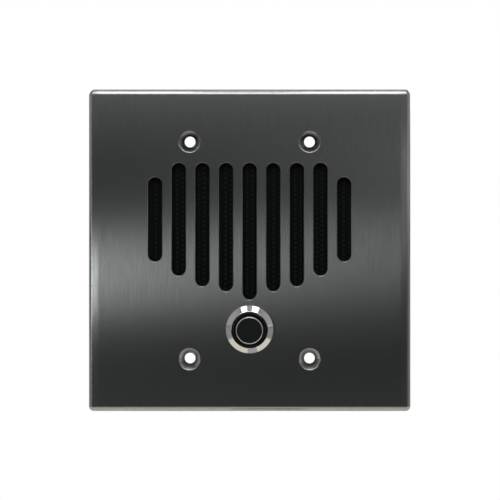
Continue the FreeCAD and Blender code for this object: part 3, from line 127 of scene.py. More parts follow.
class Wire:
    """One value on its way through a sheet of nodes."""

    def __init__(self, sheet, socket):
        self.sheet = sheet
        self.socket = socket

    def maths(self, operation, first, second=0.0):
        return self.sheet.node("ShaderNodeMath", {"operation": operation}, {0: first, 1: second})

    def __add__(self, other):
        return self.maths("ADD", self, other)

    def __radd__(self, other):
        return self.maths("ADD", other, self)

    def __sub__(self, other):
        return self.maths("SUBTRACT", self, other)

    def __rsub__(self, other):
        return self.maths("SUBTRACT", other, self)

    def __mul__(self, other):
        return self.maths("MULTIPLY", self, other)

    def __rmul__(self, other):
        return self.maths("MULTIPLY", other, self)

    def __truediv__(self, other):
        return self.maths("DIVIDE", self, other)

    def __rtruediv__(self, other):
        return self.maths("DIVIDE", other, self)

    def __pow__(self, other):
        return self.maths("POWER", self, other)

    def __rpow__(self, other):
        return self.maths("POWER", other, self)

    def __gt__(self, other):
        return self.maths("GREATER_THAN", self, other)

    def __lt__(self, other):
        return self.maths("LESS_THAN", self, other)

    def __abs__(self):
        return self.maths("ABSOLUTE", self)

    def at_least(self, other):
        """The larger of two values."""
        return self.maths("MAXIMUM", self, other)

    def distance(self, other):
        """How far the point (self, other) is from the middle."""
        return self.maths("SQRT", self ** 2.0 + other ** 2.0)

    def turn_with(self, other):
        """The angle of the direction (other, self)."""
        return self.maths("ARCTAN2", self, other)

    def wave(self, pitch):
        """A triangle wave from 0 to 1 that repeats every pitch."""
        return self.maths("PINGPONG", self, pitch / 2) * (2 / pitch)

    def rise(self, low, high):
        """0 below low, 1 above high, and a smooth slope between them."""
        return self.sheet.node(
            "ShaderNodeMapRange", {"interpolation_type": "SMOOTHSTEP"},
            {"Value": self, "From Min": low, "From Max": high})

    def output(self, key):
        """Another output of the node that this wire comes from."""
        return Wire(self.sheet, find_socket(self.socket.node.outputs, key))


print("wires add, subtract, multiply, divide, compare, rise and wave")

# %% [markdown]
# ## Sheets
# A `Sheet` holds the nodes. Its method `node` places any node that isn't arithmetic: it takes the
# node's type, then its settings, then the values or wires of its sockets, always in that order,
# because some sockets only appear once a setting is made. Colours and vectors have methods of their
# own, since a Math node would turn them grey.

# %% Sheets
def set_stops(ramp, stops):
    """Gives a colour ramp its stops: pairs of a place and a colour."""
    while len(ramp.elements) < len(stops):
        ramp.elements.new(1.0)
    for element, (place, colour) in zip(ramp.elements, stops):
        element.position = place
        element.color = (*colour, 1)


class Sheet:
    """The nodes of a finish, of a world or of a rule that repeats a shape."""

    def __init__(self, tree):
        self.tree = tree

    def node(self, kind, settings=None, sockets=None, out=0):
        """Places a node: its settings first, then the values or wires of its sockets."""
        placed = self.tree.nodes.new(kind)
        for name, value in (settings or {}).items():
            if name == "stops":
                set_stops(placed.color_ramp, value)
            else:
                setattr(placed, name, value)
        for key, value in (sockets or {}).items():
            socket = find_socket(placed.inputs, key)
            if isinstance(value, Wire):
                self.tree.links.new(value.socket, socket)
            elif socket.type == "RGBA" and len(value) == 3:
                socket.default_value = (*value, 1)
            else:
                socket.default_value = value
        return Wire(self, find_socket(placed.outputs, out)) if placed.outputs else None

    def split(self, vector):
        """The three parts of a vector."""
        parts = self.node("ShaderNodeSeparateXYZ", {}, {0: vector})
        return parts, parts.output(1), parts.output(2)

    def mix(self, factor, first, second):
        """A colour between two colours."""
        return self.node(
            "ShaderNodeMix", {"data_type": "RGBA"},
            {"Factor_Float": factor, "A_Color": first, "B_Color": second}, "Result_Color")

    def scaled(self, vector, number):
        """A vector or colour made longer or lighter by a number."""
        return self.node(
            "ShaderNodeVectorMath", {"operation": "SCALE"}, {0: vector, "Scale": number})


print("sheets place any node, and split, mix and scale vectors")

# %% [markdown]
# ## The studio
# Metal shows its surroundings more than its own colour, so the surroundings are built with care.
# The photograph's background is pure white. A white world that everybody sees would wash out the
# metal, so Light Path divides it: the camera and the mirrors see white, and the surfaces get a third
# of that as their fill light.

# %% The white world
WORLD_FILL = 0.35

world = bpy.data.worlds.new("studio")
world.use_nodes = True
bpy.context.scene.world = world
sky = Sheet(world.node_tree)
ray = sky.node("ShaderNodeLightPath", out="Is Camera Ray")
seen = ray + ray.output("Is Glossy Ray") + ray.output("Is Transmission Ray")
level = WORLD_FILL + (1 - WORLD_FILL) * (seen > 0.5)
sky_light = world.node_tree.nodes["Background"].inputs
sky_light["Color"].default_value = (1, 1, 1, 1)
world.node_tree.links.new(level.socket, sky_light["Strength"])
print("world: white to the eye, %.2f as a fill light" % WORLD_FILL)

# %% [markdown]
# The floor is a disc of cream paper, a hand's length below the plate. The photograph doesn't show it,
# but the lower edges of the steel mirror it and turn warm. Its rim fades into the white world, which
# a plain square with a hard edge wouldn't do.

# %% The floor
FLOOR_HEIGHT = -0.25
FLOOR_RADIUS = 0.44
FLOOR_CREAM = (0.84, 0.80, 0.71)


def as_mesh(name, shape):
    """Turns a shape that is being built into a finished mesh."""
    mesh = bpy.data.meshes.new(name)
    shape.to_mesh(mesh)
    shape.free()
    return mesh


disc = bmesh.new()
bmesh.ops.create_circle(disc, cap_ends=True, segments=96, radius=FLOOR_RADIUS)
floor = bpy.data.objects.new("floor", as_mesh("floor", disc))
floor.location = (0, 0, FLOOR_HEIGHT)
bpy.context.scene.collection.objects.link(floor)

paper = bpy.data.materials.new("studio_paper")
paper.use_nodes = True
paper_nodes = Sheet(paper.node_tree)
paper_shader = paper.node_tree.nodes["Principled BSDF"]
paper_shader.inputs["Base Color"].default_value = (*FLOOR_CREAM, 1)
paper_shader.inputs["Roughness"].default_value = 0.9
spot = paper_nodes.node("ShaderNodeTexCoord", out="Object")
away = paper_nodes.node("ShaderNodeVectorMath", {"operation": "LENGTH"}, {0: spot}, "Value")
fade = paper_nodes.node("ShaderNodeBsdfTransparent")
faded = paper_nodes.node(
    "ShaderNodeMixShader", {}, {0: away.rise(FLOOR_RADIUS * 0.7, FLOOR_RADIUS), 2: fade})
paper.node_tree.links.new(paper_shader.outputs[0], faded.socket.node.inputs[1])
paper.node_tree.links.new(faded.socket, paper.node_tree.nodes["Material Output"].inputs[0])
floor.data.materials.append(paper)
print("floor radius %.2f m, %.2f m below the middle" % (FLOOR_RADIUS, -FLOOR_HEIGHT))

# %% [markdown]
# ## Things that only glow
# Whatever stood in front of the plate shows in it as a reflection. Such a thing needs no detail and
# casts no shadow here, so it could be a lamp, but a lamp glows evenly. A mesh with an Emission
# shader can glow more in one place than in another, and its visibility keeps it out of the picture
# itself.

# %% Things that only glow
def glow_only(name, mesh, strength, hidden_from):
    """A glowing thing of the studio, which some kinds of light rays don't see."""
    thing = bpy.data.objects.new(name, mesh)
    bpy.context.scene.collection.objects.link(thing)
    for kind in hidden_from:
        setattr(thing, "visible_" + kind, False)
    cloth = bpy.data.materials.new(name)
    cloth.use_nodes = True
    sheet = Sheet(cloth.node_tree)
    if callable(strength):
        strength = strength(sheet)
    glow = sheet.node("ShaderNodeEmission", {}, {"Color": (1, 1, 1), "Strength": strength})
    cloth.node_tree.links.new(glow.socket, cloth.node_tree.nodes["Material Output"].inputs[0])
    mesh.materials.append(cloth)
    print("%-12s %4d faces, hidden from %s" % (name, len(mesh.polygons), ", ".join(hidden_from)))
    return thing


# %% [markdown]
# ## The tent
# In the photograph the steel is dark grey, so what stood in front of it was dim. A big dim tent of
# cloth, open behind the station, gives the steel that to mirror. It could be a picture wrapped round
# the scene, but a few smooth slopes in its light are enough: a paler band that lies across the plate
# as a soft sheen, a little more light above, and brighter sides. `aside` and `up` are the slopes of
# the direction in which the plate looks at the cloth.

# %% The tent and its paler band
TENT_RADIUS = 2.2
TENT_OPENING = 0.9
TENT_DIM = 0.043
TENT_SIDE = 0.25
BAND_SLOPE = 0.07


def tent_light(cloth):
    """The light of the tent's cloth in each direction."""
    x, y, z = cloth.split(cloth.node("ShaderNodeTexCoord", out="Object"))
    aside, up = x / abs(y), z / abs(y)
    sides = abs(aside).rise(0.35, 1.6) * (TENT_SIDE - TENT_DIM)
    top = up.rise(0.05, 0.16) * 0.135
    upper_strip = up.rise(0.0, 0.05) * (0.13 - up).rise(0.0, 0.05)
    right = aside.rise(0.1, 0.5) * upper_strip * 0.55
    low = (-0.2 - up).rise(0.0, 0.06) * 0.05
    low_right = (-0.12 - up).rise(0.0, 0.05) * (aside + 0.2).rise(0.0, 0.3) * 0.012
    height = up - BAND_SLOPE * aside
    band_shape = (height + 0.127).rise(0.0, 0.048) * (0.004 - height).rise(0.0, 0.036)
    left_half = (0.06 - aside).rise(0.0, 0.28)
    far_left = (-0.40 - aside).rise(0.0, 0.2)
    band_ends = 1.0 - abs(aside).rise(0.8, 1.5)
    band = band_shape * (0.325 + 0.15 * left_half + 4.0 * far_left) * band_ends
    return TENT_DIM + sides + top + right + low - low_right + band


tent_cloth = bmesh.new()
bmesh.ops.create_uvsphere(tent_cloth, u_segments=48, v_segments=24, radius=TENT_RADIUS)
behind = [face for face in tent_cloth.faces if face.calc_center_median().y > TENT_OPENING]
bmesh.ops.delete(tent_cloth, geom=behind, context="FACES")
glow_only("tent", as_mesh("tent", tent_cloth), tent_light, ("camera", "diffuse", "shadow"))
print("tent radius %.1f m, open %.1f m behind the plate" % (TENT_RADIUS, TENT_OPENING))

# %% [markdown]
# ## The lamps
# A soft box in front and above lights the plate and draws the white line along its top edge. A
# narrow one overhead lights the lower ends of the slots, and two behind light the inside for the
# views from the back. Soft boxes are used and no sun, because each edge of the photographed metal
# fades softly. A lamp's power is worked out from how bright a white surface looks in it.

# %% The lamps
def soft_lamp(name, place, width, height, radiance):
    """A soft box that faces the station. A white surface seen in it has that radiance."""
    lamp = bpy.data.lights.new(name, "AREA")
    lamp.shape = "RECTANGLE"
    lamp.size, lamp.size_y = width, height
    lamp.energy = radiance * math.pi * width * height
    lamp_object = bpy.data.objects.new(name, lamp)
    lamp_object.location = place
    lamp_object.rotation_euler = (-Vector(place)).to_track_quat("-Z", "Y").to_euler()
    lamp_object.visible_camera = False
    bpy.context.scene.collection.objects.link(lamp_object)
    print("%-16s %.2f x %.2f m, %5.2f W" % (name, width, height, lamp.energy))


soft_lamp("front_box", (0, -0.877, 0.664), 1.0, 1.0, 3.4)
soft_lamp("top_box", (0, -0.086, 1.097), 0.8, 0.15, 1.4)
soft_lamp("back_box_left", (-0.9, 0.9, 0.7), 0.7, 0.7, 2.4)
soft_lamp("back_box_right", (0.9, 0.7, 0.5), 0.7, 0.7, 1.6)

# %% [markdown]
# ## Two grey cards
# The turned cone round the button mirrors one small part of the studio at each place. In the
# photograph something grey stands in the middle of the lamp, so that the cone shows two white
# patches with grey between them, and something else stands before the floor, with a cream patch on
# each side. Painting the patches on the metal would be wrong from every other side. Two small
# cards that only mirrors see make them as the real room did.

# %% The grey cards
def grey_card(name, place, lean, half_width, half_height, strength):
    """A small card that leans back by an angle in degrees."""
    corners = [(x * half_width, 0, z * half_height) for x, z in ((-1, -1), (1, -1), (1, 1), (-1, 1))]
    card_mesh = bpy.data.meshes.new(name)
    card_mesh.from_pydata(corners, [], [(0, 1, 2, 3)])
    card = glow_only(name, card_mesh, strength, ("camera", "diffuse", "shadow", "transmission"))
    card.location = place
    card.rotation_euler = (math.radians(lean), 0, 0)
    print("%-12s %.0f x %.0f mm" % (name, 2 * half_width / MM, 2 * half_height / MM))


grey_card("upper_card", (-0.005, -0.131, 0.190), -57, 0.033, 0.025, 0.32)
grey_card("lower_card", (0.0075, -0.0235, -0.1055), 73, 0.0155, 0.0055, 0.42)

# %% [markdown]
# ## Finishes
# A finish never is one flat colour. Steel has its grain, plating has faint clouds, moulded plastic
# has a fine skin, and every edge that hands or tools have touched is a little different. Pictures
# could show all that, but they blur close up and need unfolding. `Patterns` is a sheet that works
# clouds, grains and rings out from the place on the piece instead, in millimetres.

# %% Patterns
class Patterns(Sheet):
    """A sheet whose patterns are laid out in millimetres on the piece."""

    def __init__(self, tree):
        super().__init__(tree)
        self.place = self.scaled(self.node("ShaderNodeTexCoord", out="Object"), 1000)
        self.x, self.y, self.z = self.split(self.place)

    def stretched(self, size, stretch):
        """Places measured in lumps of that size, drawn out along each axis by the stretch."""
        return self.node(
            "ShaderNodeVectorMath", {"operation": "MULTIPLY"},
            {0: self.place, 1: [1 / (size * part) for part in stretch]})

    def noise(self, size, stretch=(1, 1, 1), detail=2.0):
        """Clouds from 0 to 1 whose lumps have that size."""
        return self.node(
            "ShaderNodeTexNoise", {},
            {"Vector": self.stretched(size, stretch), "Scale": 1.0, "Detail": detail}, "Fac")

    def grains(self, size):
        """Distance from the middle of each grain."""
        return self.node(
            "ShaderNodeTexVoronoi", {},
            {"Vector": self.stretched(size, (1, 1, 1)), "Scale": 1.0}, "Distance")

    def radius(self, x, z):
        """Distance from an axis that runs front to back."""
        return (self.x - x).distance(self.z - z)


print("patterns: clouds, grains and rings")

# %% [markdown]
# A `Finish` is such a sheet with one Principled shader. What is the same all over the piece is set
# on the shader itself, and what changes from place to place is fed to it. A few finishes need a
# second shader where the first one ends, such as bare steel beside brushed steel. It is mixed in by
# a mask, which keeps the two apart more sharply than mixing each of their values would.

# %% The Finish sheet
finishes = {}


class Finish(Patterns):
    """A material with one Principled shader."""

    def __init__(self, name, colour, roughness, **fixed):
        self.material = bpy.data.materials.new(name)
        self.material.use_nodes = True
        super().__init__(self.material.node_tree)
        finishes[name] = self.material
        self.name = name
        self.colour = tuple(colour)
        self.normal = None
        self.shader = self.tree.nodes["Principled BSDF"]
        self.shader.inputs["Base Color"].default_value = (*colour, 1)
        self.shader.inputs["Roughness"].default_value = roughness
        for socket, value in fixed.items():
            self.shader.inputs[socket.replace("_", " ")].default_value = value

    def feed(self, socket, wire):
        """Connects a wire to the shader."""
        self.tree.links.new(wire.socket, self.shader.inputs[socket])

    def shade(self, factor):
        """Makes the colour lighter or darker from place to place."""
        self.feed("Base Color", self.scaled(self.colour, factor))

    def second(self, mask, colour, roughness, **fixed):
        """A second shader, which takes over where the mask is 1."""
        sockets = {"Base Color": colour, "Roughness": roughness, "Normal": self.normal}
        sockets.update({name.replace("_", " "): value for name, value in fixed.items()})
        other = self.node("ShaderNodeBsdfPrincipled", {}, sockets)
        joined = self.node("ShaderNodeMixShader", {}, {0: mask, 2: other})
        self.tree.links.new(self.shader.outputs[0], joined.socket.node.inputs[1])
        self.tree.links.new(joined.socket, self.tree.nodes["Material Output"].inputs[0])

    def raised(self, height):
        """Raises the surface by a height in millimetres, and prints the finished finish."""
        sockets = {"Height": height, "Distance": MM, "Strength": 1.0}
        self.normal = self.node("ShaderNodeBump", {}, sockets, "Normal")
        self.feed("Normal", self.normal)
        print("finish %-18s %3d nodes" % (self.name, len(self.tree.nodes)))


print("a finish can have a colour, a shade, a second shader and relief")

# %% [markdown]
# ### Brushed stainless steel
# The plate is ground with an abrasive belt that runs from top to bottom. Each grain of the belt
# leaves a hairline, so light spreads sideways and the sheen becomes a level band. The shader's own
# anisotropy gives that spread, and long thin noise gives the hairlines. The belt rolls over the
# edges of the plate a little and the screw holes have a small ridge, and both are only fractions of
# a millimetre, so they are bumps in the finish and not shapes. The rounded rim, the walls of the
# slots and the back never met the belt: a second shader shows them as the mill left them, with straw
# and blue rings where the studs were welded. Painted shade darkens its colour on the slot walls, at
# the upper ends of the slots and deep in the countersinks, and a painted highlight lightens the rim
# of each countersink, more on the lower two.

# %% Brushed stainless steel
HOLE_X, HOLE_Z, HOLE_RIM = 23.02, 41.67, 4.22
STUD_X, STUD_Z = 40.5, 24.5
SCREEN_MIDDLE = 8.0

steel = Finish("brushed_stainless", (0.287, 0.303, 0.296), 0.25, Metallic=1.0, Anisotropic=1.0)
hairlines = steel.noise(0.14, (1, 1, 32), 3.0)
streaks = steel.noise(0.50, (1, 1, 22))
steel.shade(0.61 + 0.36 * hairlines + 0.42 * streaks + 0.04 * steel.noise(24.0))
steel.feed("Roughness", 0.27 - 0.05 * streaks - 0.04 * hairlines)

rolled_sides = abs(steel.x).rise(57.5, 61.5) * 0.30
rolled_top = steel.z.rise(59.8, 61.3) * 0.11
rolled_bottom = (0.0 - steel.z).rise(59.8, 60.9) * 0.20
hole = (abs(steel.x) - HOLE_X).distance(abs(steel.z) - HOLE_Z)
ridges = (HOLE_RIM - hole).rise(0.0, 0.25) * (steel.y < -2.5) * 0.09
steel.raised(hairlines * 0.0004 - rolled_sides - rolled_top - rolled_bottom - ridges)

from_middle = abs(steel.x).at_least(abs(steel.z))
unbrushed = from_middle.rise(60.35, 60.65).at_least(steel.y.rise(-2.995, -2.96))
inside = (steel.y < -0.01) * (from_middle < 60.0)
# painted shade: slot_walls, slot_tops and countersinks darken the colour there, and lit_rim is a painted
# highlight on each countersink's rim, wider on the lower two
slot_walls = steel.y.rise(-2.96, -2.7) * inside * (abs(steel.z - SCREEN_MIDDLE) < 28.0)
slot_tops = steel.z.rise(12.0, 26.0) * (steel.z < 37.0) * inside
countersinks = (hole < HOLE_RIM) * inside
lit_rim = (hole + 0.4 * (steel.z < 0.0)).rise(2.2, 3.7)
from_weld = (abs(steel.x) - STUD_X).distance(abs(steel.z - SCREEN_MIDDLE) - STUD_Z)
heat_rings = steel.node(
    "ShaderNodeValToRGB",
    {"stops": [(0.0, (0.16, 0.17, 0.24)), (0.35, (0.26, 0.22, 0.30)), (0.6, (0.44, 0.33, 0.18)),
               (1.0, (0.42, 0.42, 0.41))]},
    {0: (from_weld - 2.0) / 5.0}, "Color")
# painted shade and painted highlight, multiplied into the colour of the unbrushed steel
shadows = (1.0 - 0.8 * slot_walls) * (1.0 - 0.5 * slot_tops) * (1.0 - countersinks * (0.85 - 0.7 * lit_rim))
steel.second(
    unbrushed, steel.scaled(heat_rings, (0.85 + 0.3 * steel.noise(2.0, (1, 1, 4))) * shadows),
    0.14 + 0.10 * streaks + 0.16 * slot_walls + 0.06 * countersinks, Metallic=1.0)

# %% [markdown]
# ### Polished stainless steel
# The barrel of the button is turned on a lathe and polished. What is left of the turning are rings
# round its axis, finer than a hair. They could be noise, but rings that share one centre are what
# makes a turned face look turned, so a wave of the distance from the axis draws them.

# %% Polished stainless steel
BUTTON_AXIS = (0.0, -30.2)

polish = Finish("polished_stainless", (0.72, 0.72, 0.70), 0.06, Metallic=1.0)
rings = (polish.radius(*BUTTON_AXIS) + 0.03 * polish.noise(0.6)).wave(0.16)
polish.shade(0.94 + 0.06 * rings + 0.04 * polish.noise(2.0))
polish.feed("Roughness", 0.04 + 0.03 * rings + 0.05 * polish.noise(1.1))
polish.raised(rings * 0.0008)

# %% [markdown]
# ### The actuator
# The actuator of the button is aluminium, anodised black and then cut with a diamond tool, so that
# a fine bright ring shines on its chamfer. It could be a ring of its own, but the cut takes away
# only the black skin and adds nothing, so a mask made from the place on the solid divides the two.

# %% Black anodised aluminium
cap = Finish("black_anodised", (0.005, 0.006, 0.006), 0.34, Specular_IOR_Level=0.12)
turned = cap.radius(*BUTTON_AXIS)
bright = (turned > 4.86) * (turned < 5.14) * (cap.y < -6.24)
tool_marks = turned.wave(0.22)
black = cap.scaled(cap.colour, 0.7 + 0.4 * tool_marks + 0.5 * cap.noise(0.5))
cap.feed("Base Color", cap.mix(bright, black, (0.82, 0.82, 0.79)))
cap.feed("Metallic", bright)
cap.feed("Roughness", 0.30 + 0.10 * cap.noise(0.35) - 0.08 * bright)
cap.raised(tool_marks * 0.0008)

# %% [markdown]
# ### The ring, the screen and its cloth
# The ring round the actuator is glossy moulded plastic with a fine lip. The screen is steel under
# matt black paint, and the cloth behind it is a plain black weave. All three are almost black in the
# photograph. What tells them apart is how they take the light, so their roughness and their relief
# differ more than their colours.

# %% Black plastic, paint and cloth
ring = Finish("black_plastic", (0.009, 0.009, 0.010), 0.12)
skin = ring.noise(0.5)
ring.shade(0.8 + 0.4 * ring.noise(2.0))
ring.feed("Roughness", 0.08 + 0.12 * skin)
lip = (0.12 - abs(ring.radius(*BUTTON_AXIS) - 6.50)).rise(0.0, 0.12) * (ring.y < -4.0)
ring.raised(skin * 0.002 + lip * 0.08)

paint = Finish("black_screen", (0.0018, 0.0023, 0.0023), 0.50, Specular_IOR_Level=0.03)
skin = paint.noise(0.25)
paint.shade(0.7 + 0.5 * paint.noise(2.4) + 0.2 * skin)
paint.feed("Roughness", 0.34 + 0.22 * skin)
paint.raised(skin * 0.012)

weave = Finish("black_cloth", (0.0085, 0.0095, 0.0095), 0.95, Specular_IOR_Level=0.05)
across, along = weave.x.wave(0.34), weave.z.wave(0.34)
threads = across * (1.0 - along) + along * (1.0 - across)
weave.shade(0.55 + 0.7 * threads + 0.3 * weave.noise(1.5))
weave.feed("Roughness", 0.85 + 0.12 * threads)
weave.raised(threads * 0.04)

# %% [markdown]
# ### Plated and turned metals
# Bright zinc has faint blue clouds and small lapping marks. Tin plate is softer and milkier. Brass
# spacers are turned, and the microphone's can is drawn from thin sheet. They differ only in their
# colours, in the size of their marks and in how rough they are, so one function with a few numbers
# makes them all, where a copied sheet for each would hide that they are alike.

# %% Plated and turned metals
def metal(name, colour, roughness, mark, cloud, tint):
    """Metal with clouds of a second tint and fine marks, whose sizes are in millimetres."""
    plate = Finish(name, colour, roughness, Metallic=1.0)
    clouds = plate.noise(cloud, detail=3.0)
    marks = plate.noise(mark)
    tinted = plate.mix(clouds.rise(0.38, 0.66), colour, tint)
    plate.feed("Base Color", plate.scaled(tinted, 0.90 + 0.18 * marks))
    plate.feed("Roughness", roughness - 0.08 + 0.10 * marks + 0.10 * clouds)
    plate.raised(marks * mark * 0.012)


metal("zinc_plate", (0.55, 0.56, 0.58), 0.28, 0.35, 3.0, (0.50, 0.54, 0.60))
metal("tinned", (0.62, 0.62, 0.60), 0.34, 0.25, 1.5, (0.56, 0.56, 0.53))
metal("brass", (0.70, 0.50, 0.22), 0.26, 0.20, 2.5, (0.62, 0.42, 0.18))
metal("capsule_can", (0.70, 0.70, 0.70), 0.32, 0.15, 2.0, (0.64, 0.64, 0.65))

# %% [markdown]
# ### Things with one fine skin
# Drawn wire, solder, glue, ink and lacquered copper have little in common as materials, but each
# shows one fine skin: where it stands high it is also a little paler and a little rougher. One
# noise could drive only the colour, and the piece would look printed. Driving colour, gloss and
# relief together makes it look like a surface.

# %% Things with one fine skin
def one_skin(name, colour, lump, shade, gloss, relief, stretch=(1, 1, 1), **fixed):
    """Shade and gloss are pairs: their lowest value, and how much the skin adds to it."""
    coat = Finish(name, colour, gloss[0], **fixed)
    skin = coat.noise(lump, stretch)
    coat.shade(shade[0] + shade[1] * skin)
    coat.feed("Roughness", gloss[0] + gloss[1] * skin)
    coat.raised(skin * relief)


one_skin("spring_steel", (0.45, 0.45, 0.45), 0.08, (0.85, 0.25), (0.20, 0.18), 0.001,
         stretch=(1, 0.5, 1), Metallic=1.0)
one_skin("covered_copper", (0.030, 0.190, 0.075), 1.6, (0.80, 0.35), (0.18, 0.14), 0.01,
         Coat_Weight=0.5)
one_skin("white_print", (0.62, 0.63, 0.60), 0.18, (0.75, 0.30), (0.50, 0.30), 0.01)
one_skin("solder", (0.66, 0.66, 0.65), 0.5, (0.80, 0.25), (0.14, 0.22), 0.03, Metallic=1.0)
one_skin("dark_glue", (0.03, 0.022, 0.016), 0.4, (0.70, 0.60), (0.12, 0.20), 0.02)

# %% [markdown]
# ### Steel and copper of the loudspeaker and the transformer
# The basket is pressed steel under black lacquer, with the orange peel of a thick coat. The core is
# a stack of thin sheets, so it has a layer every half millimetre and a little rust on its cut edges,
# and the coil is enamelled wire, layer on layer. Sheets and turns could be modelled one by one, but
# they are finer than a hair and hidden inside, so waves across the solid stand for them. On the coil
# the wave also darkens the colour between the turns, as painted shade.

# %% Lacquer, stacked sheets and copper turns
lacquer = Finish("speaker_steel", (0.020, 0.020, 0.022), 0.36, Coat_Weight=0.3)
peel = lacquer.noise(0.7, detail=1.0)
lacquer.shade(0.8 + 0.5 * lacquer.noise(4.0))
lacquer.feed("Roughness", 0.28 + 0.2 * peel)
lacquer.raised(peel * 0.02)

core = Finish("core_steel", (0.18, 0.17, 0.16), 0.45, Metallic=1.0)
layers = core.y.wave(0.5)
rust = core.noise(1.4, detail=4.0).rise(0.55, 0.75)
plain = core.scaled(core.colour, 0.55 + 0.6 * layers)
core.feed("Base Color", core.mix(rust * 0.45, plain, (0.16, 0.07, 0.03)))
core.feed("Roughness", 0.38 + 0.25 * core.noise(0.4))
core.raised(layers * 0.05)

copper = Finish("copper_wire", (0.60, 0.25, 0.12), 0.25, Metallic=1.0, Coat_Weight=0.6)
turns = copper.y.wave(0.22)
# painted shade: the colour darkens towards the edges of each turn, between the wires
copper.shade(0.55 + 0.6 * turns)
copper.feed("Roughness", 0.20 + 0.15 * copper.noise(0.6))
copper.raised(turns * 0.06)

# %% [markdown]
# ### Foam and rubber
# Foam is all open cells where it was cut, large ones with small ones between them, and they are dark
# because light gets lost in them. Rubber has a dull skin with a pale bloom here and there. Both
# scatter light, so they stay rough. Cells are drawn with a Voronoi pattern, which has a middle and a
# wall for each cell, where plain noise would look like stone.

# %% Foam and rubber
foam = Finish("black_foam", (0.022, 0.022, 0.022), 0.92)
depth = foam.grains(0.55).rise(0.05, 0.55) * 0.7 + foam.grains(0.22).rise(0.1, 0.5) * 0.3
foam.shade(0.35 + 1.1 * depth)
foam.feed("Roughness", 0.82 + 0.15 * depth)
foam.raised(depth * 0.12)

rubber = Finish("black_rubber", (0.017, 0.017, 0.017), 0.62)
skin = rubber.noise(0.18)
bloom = rubber.noise(3.5, detail=3.0).rise(0.45, 0.75)
rubber.feed("Base Color", rubber.mix(bloom * 0.5, rubber.colour, (0.032, 0.032, 0.034)))
rubber.feed("Roughness", 0.55 + 0.22 * skin)
rubber.raised(skin * 0.010)

# %% [markdown]
# ### Paper and cloth of the loudspeaker
# The cone is paper pulp, pressed into shape, so its fibres lie flat and cross each other, and the
# press leaves rings round the axis. The spider is cotton dipped in resin: its threads cross at right
# angles, a little unevenly, and stiffen where the resin is thick. Two stretched noises make fibres,
# and two crossing waves make threads.

# %% Pressed paper and treated cloth
SPEAKER_AXIS = (0.0, 8.5)

pulp = Finish("cone_paper", (0.035, 0.033, 0.030), 0.85)
fibres = 0.5 * pulp.noise(0.5, (1, 1, 3), 4.0) + 0.5 * pulp.noise(0.5, (3, 1, 1), 4.0)
pulp.shade(0.5 + 1.0 * fibres)
pulp.feed("Roughness", 0.75 + 0.2 * fibres)
pulp.raised(fibres * 0.05 + pulp.radius(*SPEAKER_AXIS).wave(2.1) * 0.06)

cotton = Finish("treated_cloth", (0.30, 0.20, 0.08), 0.60)
across = (cotton.x + 0.05 * cotton.noise(1.0)).wave(0.42)
along = (cotton.z + 0.05 * cotton.noise(1.1)).wave(0.42)
resin = cotton.noise(2.5)
cotton.shade(0.55 + 0.5 * across * along + 0.3 * resin)
cotton.feed("Roughness", 0.45 + 0.3 * resin)
cotton.raised(across * along * 0.06)

# %% [markdown]
# ### The board
# A circuit board is woven glass in resin under a thin green lacquer, so the weave shows faintly in
# its sheen, and its sawn edges show the bare glass layers. The edges aren't pieces of their own: the
# mask `bare` finds them by their depth between the two lacquered faces.

# %% Green lacquer over woven glass
BOARD_MIDDLE = 14.5

mask = Finish("laminate_green", (0.014, 0.105, 0.045), 0.26, Coat_Weight=0.5)
woven = mask.x.wave(0.9) * mask.z.wave(0.9)
film = mask.noise(2.2)
bare = abs(mask.y - BOARD_MIDDLE) < 0.78
glass = mask.scaled((0.30, 0.28, 0.14), 0.8 + 0.4 * mask.y.wave(0.2))
green = mask.scaled(mask.colour, 0.75 + 0.25 * woven + 0.3 * film)
mask.feed("Base Color", mask.mix(bare, green, glass))
mask.feed("Roughness", 0.20 + 0.12 * film + 0.4 * bare)
mask.raised(woven * 0.006 + film * 0.01)

# %% [markdown]
# ### Moulded plastic
# The terminal block, the trimmer, the chip and the sleeves of the wires are moulded. A mould is
# eroded by sparks, which leaves a fine even texture, and the plastic's flow leaves wide faint
# clouds. Only the colour and the size of the texture differ, so one function makes them.

# %% Moulded plastic
def moulded(name, colour, roughness, grain, depth):
    """Moulded plastic, with the size and depth of its texture in millimetres."""
    plastic = Finish(name, colour, roughness)
    texture = plastic.noise(grain)
    flow = plastic.noise(grain * 12)
    plastic.shade(0.82 + 0.22 * flow + 0.12 * texture)
    plastic.feed("Roughness", roughness - 0.07 + 0.18 * texture)
    plastic.raised(texture * depth)


moulded("terminal_green", (0.02, 0.20, 0.07), 0.34, 0.2, 0.010)
moulded("trimmer_blue", (0.02, 0.08, 0.30), 0.36, 0.2, 0.008)
moulded("rotor_white", (0.75, 0.74, 0.70), 0.45, 0.2, 0.008)
moulded("chip_epoxy", (0.025, 0.025, 0.027), 0.55, 0.12, 0.012)
moulded("red_insulation", (0.45, 0.02, 0.02), 0.38, 0.3, 0.006)
moulded("black_insulation", (0.02, 0.02, 0.02), 0.38, 0.3, 0.006)

# %% [markdown]
# ### Ferrite and pressed paper strip
# The magnet is ferrite, a black ceramic that sparkles a little where it broke between its grains.
# The tags stand on a strip of paper pressed in brown resin, which shows its layers at the edge and
# pale flecks along the paper. A flat brown and a flat black would lose what they are made of.

# %% Ferrite and phenolic strip
ferrite = Finish("ferrite", (0.040, 0.040, 0.042), 0.55)
grit = ferrite.grains(0.12)
ferrite.shade(0.6 + 0.6 * grit + 0.3 * ferrite.noise(3.0))
ferrite.feed("Roughness", 0.42 + 0.3 * grit)
ferrite.raised(grit * 0.012)

strip = Finish("phenolic", (0.22, 0.10, 0.04), 0.48)
flecks = strip.noise(0.35, (4, 1, 1), 3.0)
strip.shade(0.65 + 0.25 * strip.y.wave(0.16) + 0.5 * flecks)
strip.feed("Roughness", 0.38 + 0.25 * flecks)
strip.raised(flecks * 0.02)

